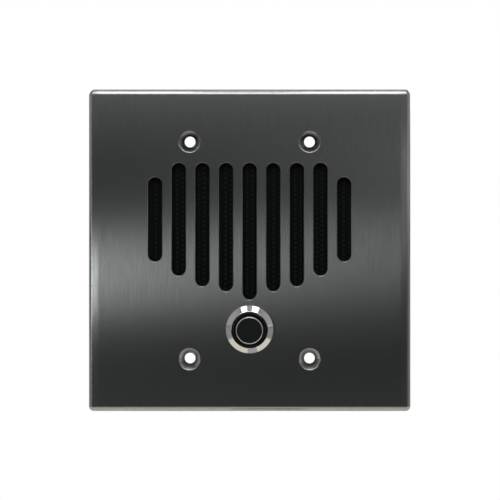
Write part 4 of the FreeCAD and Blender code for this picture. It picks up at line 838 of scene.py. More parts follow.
# %% [markdown]
# ### Capacitors
# Each can is aluminium in a shrunk sleeve. The sleeve has a pale stripe with dashes on the side of
# the minus pin, and it leaves the lid bare, which is scored with a cross so that it opens safely.
# The two cans stand side by side, so the pattern is laid out from each can's own axis: `inwards`
# folds the board there and serves both.

# %% Capacitor sleeve
CANS_MIDDLE, CANS_APART, CANS_HEIGHT = -26.7, 4.7, 29.8

sleeve = Finish("capacitor_sleeve", (0.012, 0.016, 0.045), 0.24)
inwards = abs(sleeve.x - CANS_MIDDLE) - CANS_APART
up = sleeve.z - CANS_HEIGHT
away = inwards.distance(up)
turn = abs(up.turn_with(inwards))
lid = (away < 3.15) * (sleeve.y > 26.2)
stripe = (turn < 0.42) * (away > 3.4)
dash = stripe * (turn < 0.16) * (sleeve.y.wave(2.6) > 0.45)
shrunk = sleeve.scaled(sleeve.colour, 0.8 + 0.4 * sleeve.noise(1.5))
printed = sleeve.mix(dash, sleeve.mix(stripe, shrunk, (0.50, 0.52, 0.55)), sleeve.colour)
cross = (abs(inwards) < 0.16) + (abs(up) < 0.16)
score = lid * (cross > 0.5) * (away < 2.7)
aluminium = sleeve.scaled((0.52, 0.52, 0.53), 1.0 - 0.6 * score)
sleeve.feed("Base Color", sleeve.mix(lid, printed, aluminium))
sleeve.feed("Metallic", lid)
ripple = sleeve.noise(0.8, (1, 2, 1))
sleeve.feed("Roughness", 0.18 + 0.12 * ripple + 0.12 * lid)
sleeve.raised(ripple * 0.02 - score * 0.15)

# %% [markdown]
# ### Winding tape and chip parts
# Yellow tape holds the transformer's winding, and each lap of it ends in a small step. The smallest
# parts on the board are ceramic chips with tinned ends, a few millimetres long, all at one pitch.
# Steps and ends could be cut into the solids, but a wave at the right pitch puts them there with no
# more faces.

# %% Winding tape and chip parts
tape = Finish("winding_tape", (0.62, 0.45, 0.06), 0.22, Coat_Weight=0.4)
laps = (tape.z + 0.2 * tape.noise(3.0)).wave(3.1)
seam = laps < 0.06
tape.shade(0.85 + 0.15 * laps + 0.15 * tape.noise(1.6) - 0.3 * seam)
tape.feed("Roughness", 0.16 + 0.15 * tape.noise(0.9))
tape.raised(seam * -0.05 + tape.noise(1.2) * 0.04)

CHIP_PITCH, FIRST_CHIP = 3.2, -30.8

chip = Finish("chip_ceramic", (0.30, 0.22, 0.15), 0.42)
ends = (chip.x - FIRST_CHIP).wave(CHIP_PITCH) * (CHIP_PITCH / 2) > 0.68
speckle = chip.noise(0.12)
body = chip.scaled(chip.colour, 0.8 + 0.4 * speckle)
chip.feed("Base Color", chip.mix(ends, body, (0.62, 0.62, 0.60)))
chip.feed("Metallic", ends)
chip.feed("Roughness", 0.40 - 0.12 * ends + 0.1 * speckle)
chip.raised(speckle * 0.01)
print("finishes in all:", len(finishes))

# %% [markdown]
# ## Every solid gets its finish
# The frame's record names one finish for each node, as a parts list does. Setting them one by one
# would take a line for each of the 58 nodes and go wrong in time, so they are handed out from the
# record.

# %% Hand out the finishes
for part in frame["record"]["subparts"]:
    slots = nodes[part["node"]].data.materials
    slots.clear()
    slots.append(finishes[part["material_slot"]])
print("finished nodes:", len(nodes))

# %% [markdown]
# ## Making pieces
# A new piece is a mesh whose place is in its own points, as it is for the frame's nodes: an object
# that is moved or turned itself would lose its place when the part is exported. Each piece rides on
# a body of the frame, and where it stands for a node, that node is hidden.

# %% Placing a piece
def tidy(shape):
    """Closes the seams of a shape and turns its faces outwards."""
    bmesh.ops.remove_doubles(shape, verts=shape.verts, dist=1e-7)
    bmesh.ops.recalc_face_normals(shape, faces=shape.faces)


def place_piece(name, mesh, finish, body="station", stands_for=(), crease=35):
    """Puts a mesh in the scene with its finish, and ties it to a body of the frame."""
    piece = bpy.data.objects.new(name, mesh)
    bpy.context.scene.collection.objects.link(piece)
    mesh.materials.clear()
    mesh.materials.append(finishes[finish])
    mesh.shade_smooth()
    mesh.set_sharp_from_angle(angle=math.radians(crease))
    if body:
        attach(piece, body)
    if stands_for:
        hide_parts(*stands_for)
    print("%-18s %6d faces" % (name, len(mesh.polygons)))
    return piece


# %% [markdown]
# ## Turned pieces
# Many parts of a button and a loudspeaker are turned or pressed round an axis. Blender's Screw
# modifier could turn an outline too, but it leaves a seam and doubled points at the axis. Here the
# outline is placed at each step round the axis, in points that the faces share, so the piece is
# closed from the start.

# %% Turning an outline
def round_point(axis, radius, angle, depth):
    """A point at a distance and an angle from an axis that runs front to back, in millimetres."""
    return Vector((axis[0] + radius * math.cos(angle), depth, axis[1] + radius * math.sin(angle)))


def arc(centre, radius, start, end, steps):
    """Points of an arc in an outline, by angle in degrees."""
    angles = [math.radians(start + (end - start) * step / steps) for step in range(steps + 1)]
    return [(centre[0] + radius * math.cos(a), centre[1] + radius * math.sin(a)) for a in angles]


def skin_over(shape, sections, closed=True):
    """Faces from each closed section to the next one, and from the last to the first if closed."""
    following = sections[1:] + sections[:1] if closed else sections[1:]
    for here, there in zip(sections, following):
        for point in range(len(here)):
            after = (point + 1) % len(here)
            shape.faces.new((here[point], here[after], there[after], there[point]))


def lathe(name, outline, axis, steps):
    """Turns a closed outline of (radius, depth) pairs, in millimetres, round an axis."""
    shape = bmesh.new()
    sections = []
    for step in range(steps):
        angle = math.tau * step / steps
        sections.append([shape.verts.new(round_point(axis, r, angle, depth) * MM) for r, depth in outline])
    skin_over(shape, sections)
    bmesh.ops.dissolve_degenerate(shape, edges=shape.edges, dist=1e-8)
    tidy(shape)
    return as_mesh(name, shape)


print("an arc of 4 steps has", len(arc((0, 0), 1, 0, 90, 4)), "points")

# %% [markdown]
# ## Rules that repeat a shape
# Perforations, tracks and solder joints repeat by a rule, and Geometry Nodes are made for rules: one
# small shape is placed on many points, and each size is a named input that can be changed later. A
# `Rule` is a sheet for such a job. It runs once, is turned into a plain mesh, and leaves no modifier
# behind, because an exported part keeps neither instances nor modifiers.

# %% A rule
class Rule(Sheet):
    """A geometry sheet with named sizes, in metres, which ends as a plain mesh."""

    def __init__(self, name, **sizes):
        super().__init__(bpy.data.node_groups.new(name, "GeometryNodeTree"))
        self.sizes = sizes
        face = self.tree.interface
        face.new_socket("Result", in_out="OUTPUT", socket_type="NodeSocketGeometry")
        face.new_socket("Base", in_out="INPUT", socket_type="NodeSocketGeometry")
        for size, value in sizes.items():
            kind = "NodeSocketInt" if isinstance(value, int) else "NodeSocketFloat"
            face.new_socket(size, in_out="INPUT", socket_type=kind)
        face.new_socket("Finish", in_out="INPUT", socket_type="NodeSocketMaterial")
        self.given = self.node("NodeGroupInput")

    def size(self, name):
        return self.given.output(name)

    def vector(self, x, y, z):
        return self.node("ShaderNodeCombineXYZ", {}, {0: x, 1: y, 2: z})

    def position(self):
        """The three parts of each point's place."""
        return self.split(self.node("GeometryNodeInputPosition"))

    def make(self, shape, finish, base=None):
        """Runs the rule once and gives back its mesh."""
        real = self.node("GeometryNodeRealizeInstances", {}, {0: shape})
        painted = self.node("GeometryNodeSetMaterial", {}, {0: real, "Material": self.size("Finish")})
        end = self.tree.nodes.new("NodeGroupOutput")
        self.tree.links.new(painted.socket, end.inputs[0])
        name = self.tree.name
        blank = bpy.data.objects.new(name + "_rule", base or bpy.data.meshes.new(name))
        bpy.context.scene.collection.objects.link(blank)
        modifier = blank.modifiers.new("rule", "NODES")
        modifier.node_group = self.tree
        values = dict(self.sizes, Finish=finishes[finish])
        for item in self.tree.interface.items_tree:
            if item.in_out == "INPUT" and item.name in values:
                modifier[item.identifier] = values[item.name]
        graph = bpy.context.evaluated_depsgraph_get()
        mesh = bpy.data.meshes.new_from_object(blank.evaluated_get(graph))
        mesh.name = name
        blank.modifiers.clear()
        bpy.data.objects.remove(blank)
        print("rule %s: %d nodes, %d sizes" % (name, len(self.tree.nodes), len(self.sizes)))
        return mesh


# %% [markdown]
# ## The perforated screen
# The black sheet behind the slots is steel, punched with round holes in staggered rows and painted.
# About eleven hundred holes could be cut by as many Boolean cuts, which would take minutes and
# leave long thin faces. A punch press makes a row at a time, and so does this rule: two staggered
# columns of circles and the edge of a narrow strip become one flat face with holes by Fill Curve.

# %% Punched strips
def join(rule, *wires):
    """Puts several shapes of a rule together."""
    joined = rule.tree.nodes.new("GeometryNodeJoinGeometry")
    for wire in wires:
        rule.tree.links.new(wire.socket, joined.inputs[0])
    return Wire(rule, joined.outputs[0])


def moved(rule, shape, x, turn=0.0):
    """A shape moved sideways and turned in its own plane."""
    return rule.node("GeometryNodeTransform", {}, {
        0: shape, "Translation": rule.vector(x, 0.0, 0.0), "Rotation": (0.0, 0.0, turn)})


def punched(rule, outline, rows, *more_holes):
    """A flat piece with two staggered columns of holes in it."""
    grid = rule.node("GeometryNodeMeshGrid", {}, {
        "Size X": rule.size("Across"), "Size Y": rule.size("Up") * (rows - 1.0),
        "Vertices X": 2, "Vertices Y": rows})
    x, _, _ = rule.position()
    shift = rule.vector(0.0, ((x > 0.0) - 0.5) * rule.size("Up") / 2.0, 0.0)
    staggered = rule.node("GeometryNodeSetPosition", {}, {0: grid, "Offset": shift})
    circle = rule.node("GeometryNodeCurvePrimitiveCircle", {}, {
        "Resolution": 12, "Radius": rule.size("Hole") / 2.0})
    holes = rule.node("GeometryNodeInstanceOnPoints", {}, {0: staggered, "Instance": circle})
    outlines = rule.node(
        "GeometryNodeRealizeInstances", {}, {0: join(rule, outline, holes, *more_holes)})
    return rule.node("GeometryNodeFillCurve", {"mode": "TRIANGLES"}, {0: outlines})


HOLES = {"Across": 2.07 * MM, "Up": 1.85 * MM, "Hole": 1.30 * MM}
print("holes of %.2f mm, columns %.2f mm apart" % (HOLES["Hole"] / MM, HOLES["Across"] / MM))

# %% [markdown]
# The middle of the screen is the same strip repeated. The two ends are wider, with rounded corners
# and two large holes for the studs. Only the outer corners are round: Fillet Curve takes a radius
# for each point, and the points on the inner side get none.

# %% The middle and the ends of the screen
def screen_middle(rule, strip_width):
    strip_edge = rule.node("GeometryNodeCurvePrimitiveQuadrilateral", {}, {
        "Width": strip_width, "Height": rule.size("Height")})
    strip = punched(rule, strip_edge, rule.size("Rows"))
    places = rule.node("GeometryNodeMeshGrid", {}, {
        "Size X": strip_width * (rule.size("Strips") - 1.0), "Size Y": 0.0,
        "Vertices X": rule.size("Strips"), "Vertices Y": 1})
    return rule.node("GeometryNodeInstanceOnPoints", {}, {0: places, "Instance": strip})


def screen_end(rule, half_field):
    end_width = rule.size("Width") / 2.0 - half_field
    end_edge = rule.node("GeometryNodeCurvePrimitiveQuadrilateral", {}, {
        "Width": end_width, "Height": rule.size("Height")})
    x, _, _ = rule.position()
    rounded = rule.node("GeometryNodeFilletCurve", {"mode": "POLY"}, {
        0: end_edge, "Count": 6, "Radius": (x > 0.0) * rule.size("Corner")})
    outline = moved(rule, rounded, end_width / 2.0 - rule.size("Across"))
    stud_places = rule.node("GeometryNodeMeshGrid", {}, {
        "Size X": 0.0, "Size Y": rule.size("Height") - 2.0 * rule.size("StudInset"),
        "Vertices X": 1, "Vertices Y": 2})
    stud_ring = rule.node("GeometryNodeCurvePrimitiveCircle", {}, {
        "Resolution": 32, "Radius": rule.size("StudHole") / 2.0})
    stud_holes = moved(
        rule,
        rule.node("GeometryNodeInstanceOnPoints", {}, {0: stud_places, "Instance": stud_ring}),
        end_width - rule.size("Across") - rule.size("StudInset"))
    return moved(
        rule, punched(rule, outline, rule.size("EndRows"), stud_holes),
        half_field + rule.size("Across"))


print("the middle repeats one strip, and one end serves both sides")

# %% [markdown]
# The second end is the first one turned by half a turn. Middle and ends are merged into one sheet,
# so that the holes at their joints close, and then the sheet is given its thickness. Extruding the
# faces gives only the new side and the walls, so the sheet itself, flipped, becomes the other side.

# %% The perforated screen
def perforated_screen():
    low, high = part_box("grille_screen")
    thickness = 0.35 * MM
    rule = Rule(
        "screen", Width=high.x - low.x, Height=high.z - low.z, Thickness=thickness,
        Corner=2.5 * MM, **HOLES, StudHole=5.4 * MM, StudInset=3.5 * MM,
        Strips=18, Rows=28, EndRows=22)
    strip_width = rule.size("Across") * 2.0
    middle = screen_middle(rule, strip_width)
    end = screen_end(rule, strip_width * rule.size("Strips") / 2.0)
    flat = rule.node("GeometryNodeRealizeInstances", {}, {
        0: join(rule, middle, end, moved(rule, end, 0.0, math.pi))})
    sheet = rule.node("GeometryNodeMergeByDistance", {}, {0: flat, "Distance": 1e-6})
    thick = rule.node("GeometryNodeExtrudeMesh", {"mode": "FACES"}, {
        0: sheet, "Offset Scale": rule.size("Thickness"), "Individual": False})
    back = rule.node("GeometryNodeFlipFaces", {}, {0: sheet})
    whole = rule.node("GeometryNodeMergeByDistance", {}, {
        0: join(rule, thick, back), "Distance": 1e-6})
    mesh = rule.make(whole, "black_screen")
    upright = Matrix.Rotation(math.radians(90), 4, "X")
    centre = Vector((0, thickness, (low.z + high.z) / 2))
    mesh.transform(Matrix.Translation(centre) @ upright)
    return mesh


place_piece("perforated_screen", perforated_screen(), "black_screen", stands_for=["grille_screen"])

# %% [markdown]
# ## The dust cloth
# A thin black cloth is glued to the back of the screen. It keeps dust and insects off the cone, and
# it is what the eye sees through the holes: a little paler than the paint round them. It is stretched
# flat, so a simulation would change nothing, and a fine grid is enough. The studs need room, so the
# cloth is notched round each of them: points near a stud move to the edge of its notch.

# %% The dust cloth
CLOTH_HALF_WIDE, CLOTH_HALF_TALL = 43.0, 27.0
CLOTH_FRONT, CLOTH_BACK = 0.40, 0.55
NOTCH, NOTCH_EDGE = 2.9, 2.6


def cloth_sheet():
    low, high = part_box("grille_screen")
    middle = (low.z + high.z) / 2 / MM
    shape = bmesh.new()
    bmesh.ops.create_grid(shape, x_segments=44, y_segments=28, size=1.0)
    for vertex in shape.verts:
        x, z = vertex.co.x * CLOTH_HALF_WIDE, vertex.co.y * CLOTH_HALF_TALL
        from_stud = Vector((abs(x) - STUD_X, abs(z) - STUD_Z))
        if from_stud.length < NOTCH:
            from_stud = from_stud.normalized() * NOTCH
            x, z = math.copysign(STUD_X + from_stud.x, x), math.copysign(STUD_Z + from_stud.y, z)
        vertex.co = Vector((x, CLOTH_FRONT, middle + z)) * MM
    gone = []
    for face in shape.faces:
        spot = face.calc_center_median() / MM
        x, z = abs(spot.x) - STUD_X, abs(spot.z - middle) - STUD_Z
        if math.hypot(x, z) < NOTCH_EDGE or min(x, z) > 0:
            gone.append(face)
    bmesh.ops.delete(shape, geom=gone, context="FACES")
    thick = bmesh.ops.solidify(shape, geom=shape.faces[:], thickness=(CLOTH_BACK - CLOTH_FRONT) * MM)
    for vertex in thick["geom"]:
        if isinstance(vertex, bmesh.types.BMVert):
            vertex.co.y = CLOTH_BACK * MM
    tidy(shape)
    return as_mesh("dust_cloth", shape)


cloth = place_piece("dust_cloth", cloth_sheet(), "black_cloth")

# %% [markdown]
# ## The foam frame
# The frame between plate and wall is cut from closed-cell sheet. A cut edge of foam isn't sharp: it
# rolls over a little, and the face is never quite flat. A cloth simulation would swell it like a
# cushion, which foam under a plate doesn't do. So a rounded section is led round the square, with
# points along the sides that sag a little.

# %% The foam frame
FOAM_WIDTH, FOAM_CORNER, FOAM_ROUND = 8.0, 3.0, 0.45
FOAM_PRESSED = 0.06
FOAM_SAGS = ((0.035, 1.7), (0.025, 0.61))


def foam_section(thick):
    """The outline of the foam, as pairs: inwards from its outer edge, and depth."""
    near, far, last = FOAM_ROUND, FOAM_WIDTH - FOAM_ROUND, thick - FOAM_ROUND
    section = arc((near, near), FOAM_ROUND, 180, 270, 4)
    section += [(FOAM_WIDTH * part / 6, 0.0) for part in range(1, 6)]
    section += arc((far, near), FOAM_ROUND, 270, 360, 4)
    section += arc((far, last), FOAM_ROUND, 0, 90, 4)
    section += [(FOAM_WIDTH * part / 6, thick) for part in range(5, 0, -1)]
    return section + arc((near, last), FOAM_ROUND, 90, 180, 4)


def foam_frame():
    low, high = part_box("wall_gasket")
    outer, thick = high.x / MM, high.y / MM
    inner, reach = outer - FOAM_WIDTH, outer - FOAM_CORNER
    stations = []
    for quarter in range(4):
        turn = Matrix.Rotation(math.radians(90 * quarter), 2)
        for step in range(24):
            along = reach - 2 * reach * step / 24
            side = Vector((outer, -along)), Vector((inner, -along * inner / outer))
            stations.append([turn @ point for point in side])
        for x, z in arc((reach, reach), FOAM_CORNER, 0, 90, 6):
            stations.append([turn @ Vector((x, z)), turn @ Vector((inner, inner))])
    shape = bmesh.new()
    sections = []
    for number, (far, near) in enumerate(stations):
        sag = sum(height * math.sin(number * step) for height, step in FOAM_SAGS)
        section = []
        for inwards, depth in foam_section(thick):
            spot = far.lerp(near, inwards / FOAM_WIDTH)
            lift = sag * math.sin(math.pi * inwards / FOAM_WIDTH) * (depth / thick)
            place = Vector((spot.x, depth + lift - FOAM_PRESSED, spot.y))
            section.append(shape.verts.new(place * MM))
        sections.append(section)
    skin_over(shape, sections)
    tidy(shape)
    return as_mesh("foam_frame", shape)


gasket = place_piece("foam_frame", foam_frame(), "black_foam", stands_for=["wall_gasket"])

# %% [markdown]
# ## The foam ring
# A strip of the same foam lies between the loudspeaker and the screen, and seals the one to the
# other. Pressed from both sides, it bulges inwards and outwards. The bulge could come from a
# simulation too, but on a plain ring it is the same all round, so half an ellipse on each side of
# the section is the right shape at once.

# %% The foam ring
def foam_ring():
    outer, inner, front, back, bulge = 28.45, 24.75, 0.62, 3.58, 0.35
    middle, half = (front + back) / 2, (back - front) / 2
    section = []
    for edge, start in ((outer - bulge, -90), (inner + bulge, 90)):
        bow = arc((0, 0), 1, start, start + 180, 12)
        section += [(edge + bulge * out, middle + half * up) for out, up in bow]
    return lathe("foam_ring", section, SPEAKER_AXIS, 120)


ring = place_piece("foam_ring", foam_ring(), "black_foam", stands_for=["speaker_gasket"])

# %% [markdown]
# ## The springy parts of the loudspeaker
# A cone moves only because two soft rings let it. At its edge is a half roll of rubber. Both rings
# stretch between the fixed basket and the moving cone, so each point follows the cone more, the
# nearer it is to it. A blend between two bodies does that. It goes by the way from a start to an
# end, which is straight, so the shares are set again here by the distance from the axis.

# %% The half roll
ROLL_FACE, ROLL_SHEET = 4.0, 0.4
ROLL_RIM, ROLL_MIDDLE, ROLL_NECK = 28.0, 22.5, 19.3
ROLL_OUTSIDE, ROLL_INSIDE = 2.0, 1.7


def follow_the_cone(piece, inner, outer):
    """Ties the inner edge of a ring to the cone and its outer edge to the station."""
    centre = Vector((SPEAKER_AXIS[0], 0, SPEAKER_AXIS[1])) * MM
    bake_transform(piece, "station", "cone", start=centre + Vector((outer * MM, 0, 0)),
             end=centre + Vector((inner * MM, 0, 0)))
    shares = piece.data.attributes["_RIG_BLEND"].data
    for vertex, share in zip(piece.data.vertices, shares):
        radius = math.hypot(vertex.co.x - centre.x, vertex.co.z - centre.z) / MM
        part = min(max((outer - radius) / (outer - inner), 0.0), 1.0)
        share.value = part * part * (3 - 2 * part)


def half_roll():
    front = ROLL_FACE - ROLL_SHEET
    outline = [(ROLL_RIM, front)]
    outline += [(r, front + d) for r, d in arc((ROLL_MIDDLE, 0), ROLL_OUTSIDE, 0, -180, 24)]
    outline += [(ROLL_NECK, front), (ROLL_NECK, ROLL_FACE)]
    outline += [(r, ROLL_FACE + d) for r, d in arc((ROLL_MIDDLE, 0), ROLL_INSIDE, -180, 0, 24)]
    outline += [(ROLL_RIM, ROLL_FACE)]
    return lathe("half_roll", outline, SPEAKER_AXIS, 144)


surround = place_piece(
    "half_roll", half_roll(), "black_rubber", body=None, stands_for=["speaker_surround"])
follow_the_cone(surround, 20.4, 24.6)

# %% [markdown]
# The spider at the neck of the cone is pressed in waves, so that it gives way along the axis and
# holds the coil in the middle. Its three waves fade out towards both edges. As points of an outline
# they turn into smooth rings, which a bump on a flat disc would only pretend.

# %% The cloth spider
def cloth_spider():
    low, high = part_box("speaker_spider")
    middle = (low.y + high.y) / 2 / MM
    inner, outer, rim, half, swing = 6.55, 12.4, 15.2, 0.15, 0.45
    waves, steps = 3, 60
    front = []
    for step in range(steps + 1):
        part = step / steps
        wave = swing * math.sin(math.tau * waves * part) * math.sin(math.pi * part) ** 0.35
        front.append((inner + (outer - inner) * part, middle + wave - half))
    front.append((rim, middle - half))
    back = [(radius, depth + 2 * half) for radius, depth in reversed(front)]
    return lathe("cloth_spider", front + back, SPEAKER_AXIS, 96)


spider = place_piece(
    "cloth_spider", cloth_spider(), "treated_cloth", body=None, stands_for=["speaker_spider"])
follow_the_cone(spider, 6.8, 12.2)

# %% [markdown]
# ## Threads
# The barrel of the button has a 16 mm thread for its nut, and the studs have a 3 mm one. A stack of
# plain rings would look like a thread from afar, but a nut couldn't climb it. A die cuts one long
# groove, so each row of points climbs by one pitch in a turn, and a turn's last point is the first
# point of the next. At both ends the groove runs out in a small chamfer.

# %% A thread
GROOVE = ((0.0, 1.0), (0.25, 1.0), (0.5625, 0.0), (0.6875, 0.0))
GROOVE_DEPTH = 0.61


def threaded(name, before, thread, after, axis, steps):
    """Turns an outline with a threaded stretch: thread is (radius, pitch, start, end)."""
    radius, pitch, start, end = thread
    root = radius - GROOVE_DEPTH * pitch
    turns = math.ceil((end - start) / pitch) + 1
    sections = []
    shape = bmesh.new()
    for step in range(steps + 1):
        part = step / steps
        outline = list(before)
        for turn in range(turns):
            for along, deep in GROOVE:
                depth = min(max(start + (turn - 1 + part + along) * pitch, start), end)
                run_out = min(depth - start, end - depth)
                outline.append((min(radius - deep * (radius - root), root + run_out), depth))
        outline += after
        angle = math.tau * part
        sections.append([shape.verts.new(round_point(axis, r, angle, depth) * MM) for r, depth in outline])
    skin_over(shape, sections, closed=False)
    bmesh.ops.remove_doubles(shape, verts=shape.verts, dist=1e-7)
    bmesh.ops.dissolve_degenerate(shape, edges=shape.edges, dist=1e-7)
    tidy(shape)
    print("%-18s %6.1f turns" % (name, (end - start) / pitch))
    return as_mesh(name, shape)


# %% [markdown]
# The barrel carries the flange and the polished cone in front, and the thread behind. Its outline
# goes once round the section, with a tiny arc at each edge of the cone, because a polished edge is
# never sharp. Each stud has a low bead of weld round its foot, where it was shot on to the plate.

# %% The barrel and the studs
def button_barrel():
    front = [(6.80, -0.95), (6.80, -5.06), (6.84, -5.10), (7.02, -5.10), (7.06, -5.094),
             (7.10, -5.068), (9.04, -3.838), (9.08, -3.812), (9.10, -3.77), (9.10, -3.44),
             (9.06, -3.40), (7.39, -3.40)]
    back = [(6.60, 14.0), (6.60, 0.05), (5.45, 0.05), (5.45, -0.95)]
    return threaded("button_barrel", front, (8.0, 1.0, -3.3, 14.0), back, BUTTON_AXIS, 120)


def studs():
    shape = bmesh.new()
    bead = [(0.0, 0.0)] + arc((1.94, 0.34), 0.36, -70, 90, 8) + [(1.195, 0.75)]
    for x in (-STUD_X, STUD_X):
        for z in (SCREEN_MIDDLE - STUD_Z, SCREEN_MIDDLE + STUD_Z):
            one = threaded("stud", bead, (1.5, 0.5, 0.95, 9.5), [(0.0, 9.5)], (x, z), 28)
            shape.from_mesh(one)
            bpy.data.meshes.remove(one)
    return as_mesh("studs", shape)


place_piece("button_barrel", button_barrel(), "polished_stainless", stands_for=["button_bezel"], crease=28)
place_piece("studs", studs(), "brushed_stainless", stands_for=["weld_studs"])

# %% [markdown]
# ## Wires
# Four leads run from their solder tags to their holes in the board, with the slack that a hand
# leaves for soldering. Straight runs with bends between them look like bent rod. A smooth NURBS
# curve needs only a point where the lead changes its mind, and its round section makes the wire.

# %% Drawing a wire
def wire(name, points, radius, fineness):
    """A round wire along a smooth curve, whose control points are given in millimetres."""
    curve = bpy.data.curves.new(name, "CURVE")
    curve.dimensions = "3D"
    curve.resolution_u = fineness
    curve.bevel_depth = radius * MM
    curve.bevel_resolution = 3
    curve.use_fill_caps = True
    line = curve.splines.new("NURBS")
    line.points.add(len(points) - 1)
    for point, place in zip(line.points, points):
        point.co = (*(Vector(place) * MM), 1.0)
    line.order_u = 3
    line.use_endpoint_u = True
    drawn = bpy.data.objects.new(name, curve)
    bpy.context.scene.collection.objects.link(drawn)
    graph = bpy.context.evaluated_depsgraph_get()
    mesh = bpy.data.meshes.new_from_object(drawn.evaluated_get(graph))
    print("%-18s %6.1f mm long" % (name, line.calc_length() / MM))
    bpy.data.objects.remove(drawn)
    shape = bmesh.new()
    shape.from_mesh(mesh)
    tidy(shape)
    shape.to_mesh(mesh)
    shape.free()
    return mesh


# %% [markdown]
# The loudspeaker's leads sag from its tags to the front of the board. The button's leads leave its
# pins straight back, turn in a loop, and enter the board from behind. Both routes are written from
# where they start and end, so that a lead still fits when either end moves.

# %% The four leads
BOARD_FRONT, BOARD_BACK = 13.7, 15.3
TAG_SPREAD = 2.5


def speaker_lead_route(side):
    """From a tag of the loudspeaker in a sagging curve to the board's front face."""
    start, hole, depth, sag = -22.5, -37.3, 11.95, 3.9
    run, z = hole - start, SPEAKER_AXIS[1] + TAG_SPREAD * side
    return [
        (start, depth, z),
        (start + 0.31 * run, depth, z),
        (start + 0.55 * run, depth - 0.87 * sag, z + 0.3 * side),
        (start + 0.81 * run, depth - sag - 0.2 * side, z + 0.6 * side),
        (hole, depth - sag / 3, z + 0.4 * side),
        (hole, BOARD_FRONT, z + 0.4 * side)]


def button_lead_route(side):
    """From a pin of the switch in a loop to the board's back face."""
    start, loop, low, high = 21.0, 8.4, BUTTON_AXIS[1], -15.2
    x, hole, rise = 2.6 * side, 3.8 * side, high - low
    return [
        (x, start, low),
        (x, start + 0.6 * loop, low),
        (x + 0.5 * side, start + loop, low + 0.32 * rise),
        (x + 1.0 * side, start + 0.79 * loop - 0.4 * side, low + 0.73 * rise),
        (hole, start + 0.07 * loop, high),
        (hole, BOARD_BACK, high)]


for place, route in (("speaker", speaker_lead_route), ("button", button_lead_route)):
    for number, side, colour in ((1, -1, "black"), (2, 1, "red")):
        node = "%s_lead_%d" % (place, number)
        place_piece("%s_wire_%d" % (place, number), wire(node, route(side), 0.5, 10),
                    colour + "_insulation", stands_for=[node])

# %% [markdown]
# ## The braided leads
# Two thin braids carry the current on to the cone. They start on the same tags, go down through the
# windows of the basket, and end under a drop of glue on the back of the cone. They bend with every
# movement of the cone, and a stiff piece would tear off at one end, so each is a blend between the
# station and the cone.

# %% Braided leads of the cone
TAG_X, TAG_BACK = -17.4, 12.1
GLUE_RADIUS, GLUE_ANGLE, GLUE_DEPTH = 12.5, 35, 6.9


def round_the_cone(side, radius, angle, depth):
    """A point round the loudspeaker's axis; the angle is measured from the tags, in degrees."""
    return round_point(SPEAKER_AXIS, radius, math.radians(180 - side * angle), depth)


def braided_route(side):
    z = SPEAKER_AXIS[1] + TAG_SPREAD * side
    return [
        (TAG_X, TAG_BACK, z),
        (TAG_X, TAG_BACK + 0.8, z + 1.2 * side),
        (TAG_X - 0.6, TAG_BACK + 0.1, z + 4.2 * side),
        round_the_cone(side, 19.6, 25, 9.8),
        round_the_cone(side, 18.0, 29, 7.6),
        round_the_cone(side, 13.6, 34, 7.9),
        round_the_cone(side, GLUE_RADIUS, GLUE_ANGLE, GLUE_DEPTH)]


for number, side in ((1, -1), (2, 1)):
    name, route = "braided_lead_%d" % number, braided_route(side)
    braid = place_piece(name, wire(name, route, 0.22, 8), "tinned", body=None)
    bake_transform(braid, "station", "cone", start=Vector(route[0]) * MM, end=Vector(route[-1]) * MM)

# %% [markdown]
# ## The return spring
# The spring pushes the button back. It is wound from one wire, with open turns in the middle and a
# closed coil at each end for it to stand on. A helix alone would have no flat ends, so the rise of
# the turns changes along the wire.

# %% The return spring
SPRING_WIRE, SPRING_RADIUS = 0.6, 5.2
CLOSED_TURNS, OPEN_TURNS, POINTS_PER_TURN = 1.0, 4.5, 20


def spring_coil():
    low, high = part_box("return_spring")
    first, last = low.y / MM + SPRING_WIRE / 2, high.y / MM - SPRING_WIRE / 2
    open_rise = (last - first - 2 * CLOSED_TURNS * SPRING_WIRE) / OPEN_TURNS
    turns = OPEN_TURNS + 2 * CLOSED_TURNS
    path = []
    for step in range(int(turns * POINTS_PER_TURN) + 1):
        turn = step / POINTS_PER_TURN
        depth = first + min(turn, CLOSED_TURNS) * SPRING_WIRE
        depth += min(max(turn - CLOSED_TURNS, 0), OPEN_TURNS) * open_rise
        depth += max(turn - CLOSED_TURNS - OPEN_TURNS, 0) * SPRING_WIRE
        path.append(round_point(BUTTON_AXIS, SPRING_RADIUS - SPRING_WIRE / 2, math.tau * turn, depth))
    return wire("spring_coil", path, SPRING_WIRE / 2, 3)


spring = place_piece("spring_coil", spring_coil(), "spring_steel", stands_for=["return_spring"])
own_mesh(spring)

# %% [markdown]
# ## Tracks
# Tracks are copper ribbons under the green lacquer, so they stand a little proud of it and look
# paler. They could be drawn in the lacquer's finish, but then they would have no edge to catch the
# light. One rule leads a flat section along all routes and rounds their bends, as a board's drawing
# program does.

# %% Ribbons along routes
def line_mesh(name, routes, closed=False):
    """Straight stretches between the points (x, z) of each route, on the back of the board."""
    points, lines = [], []
    for route in routes:
        first = len(points)
        points += [Vector((x, BOARD_BACK, z)) * MM for x, z in route]
        count = len(route)
        lines += [(first + n, first + n + 1) for n in range(count - 1)]
        if closed:
            lines.append((first + count - 1, first))
    mesh = bpy.data.meshes.new(name)
    mesh.from_pydata(points, lines, [])
    return mesh


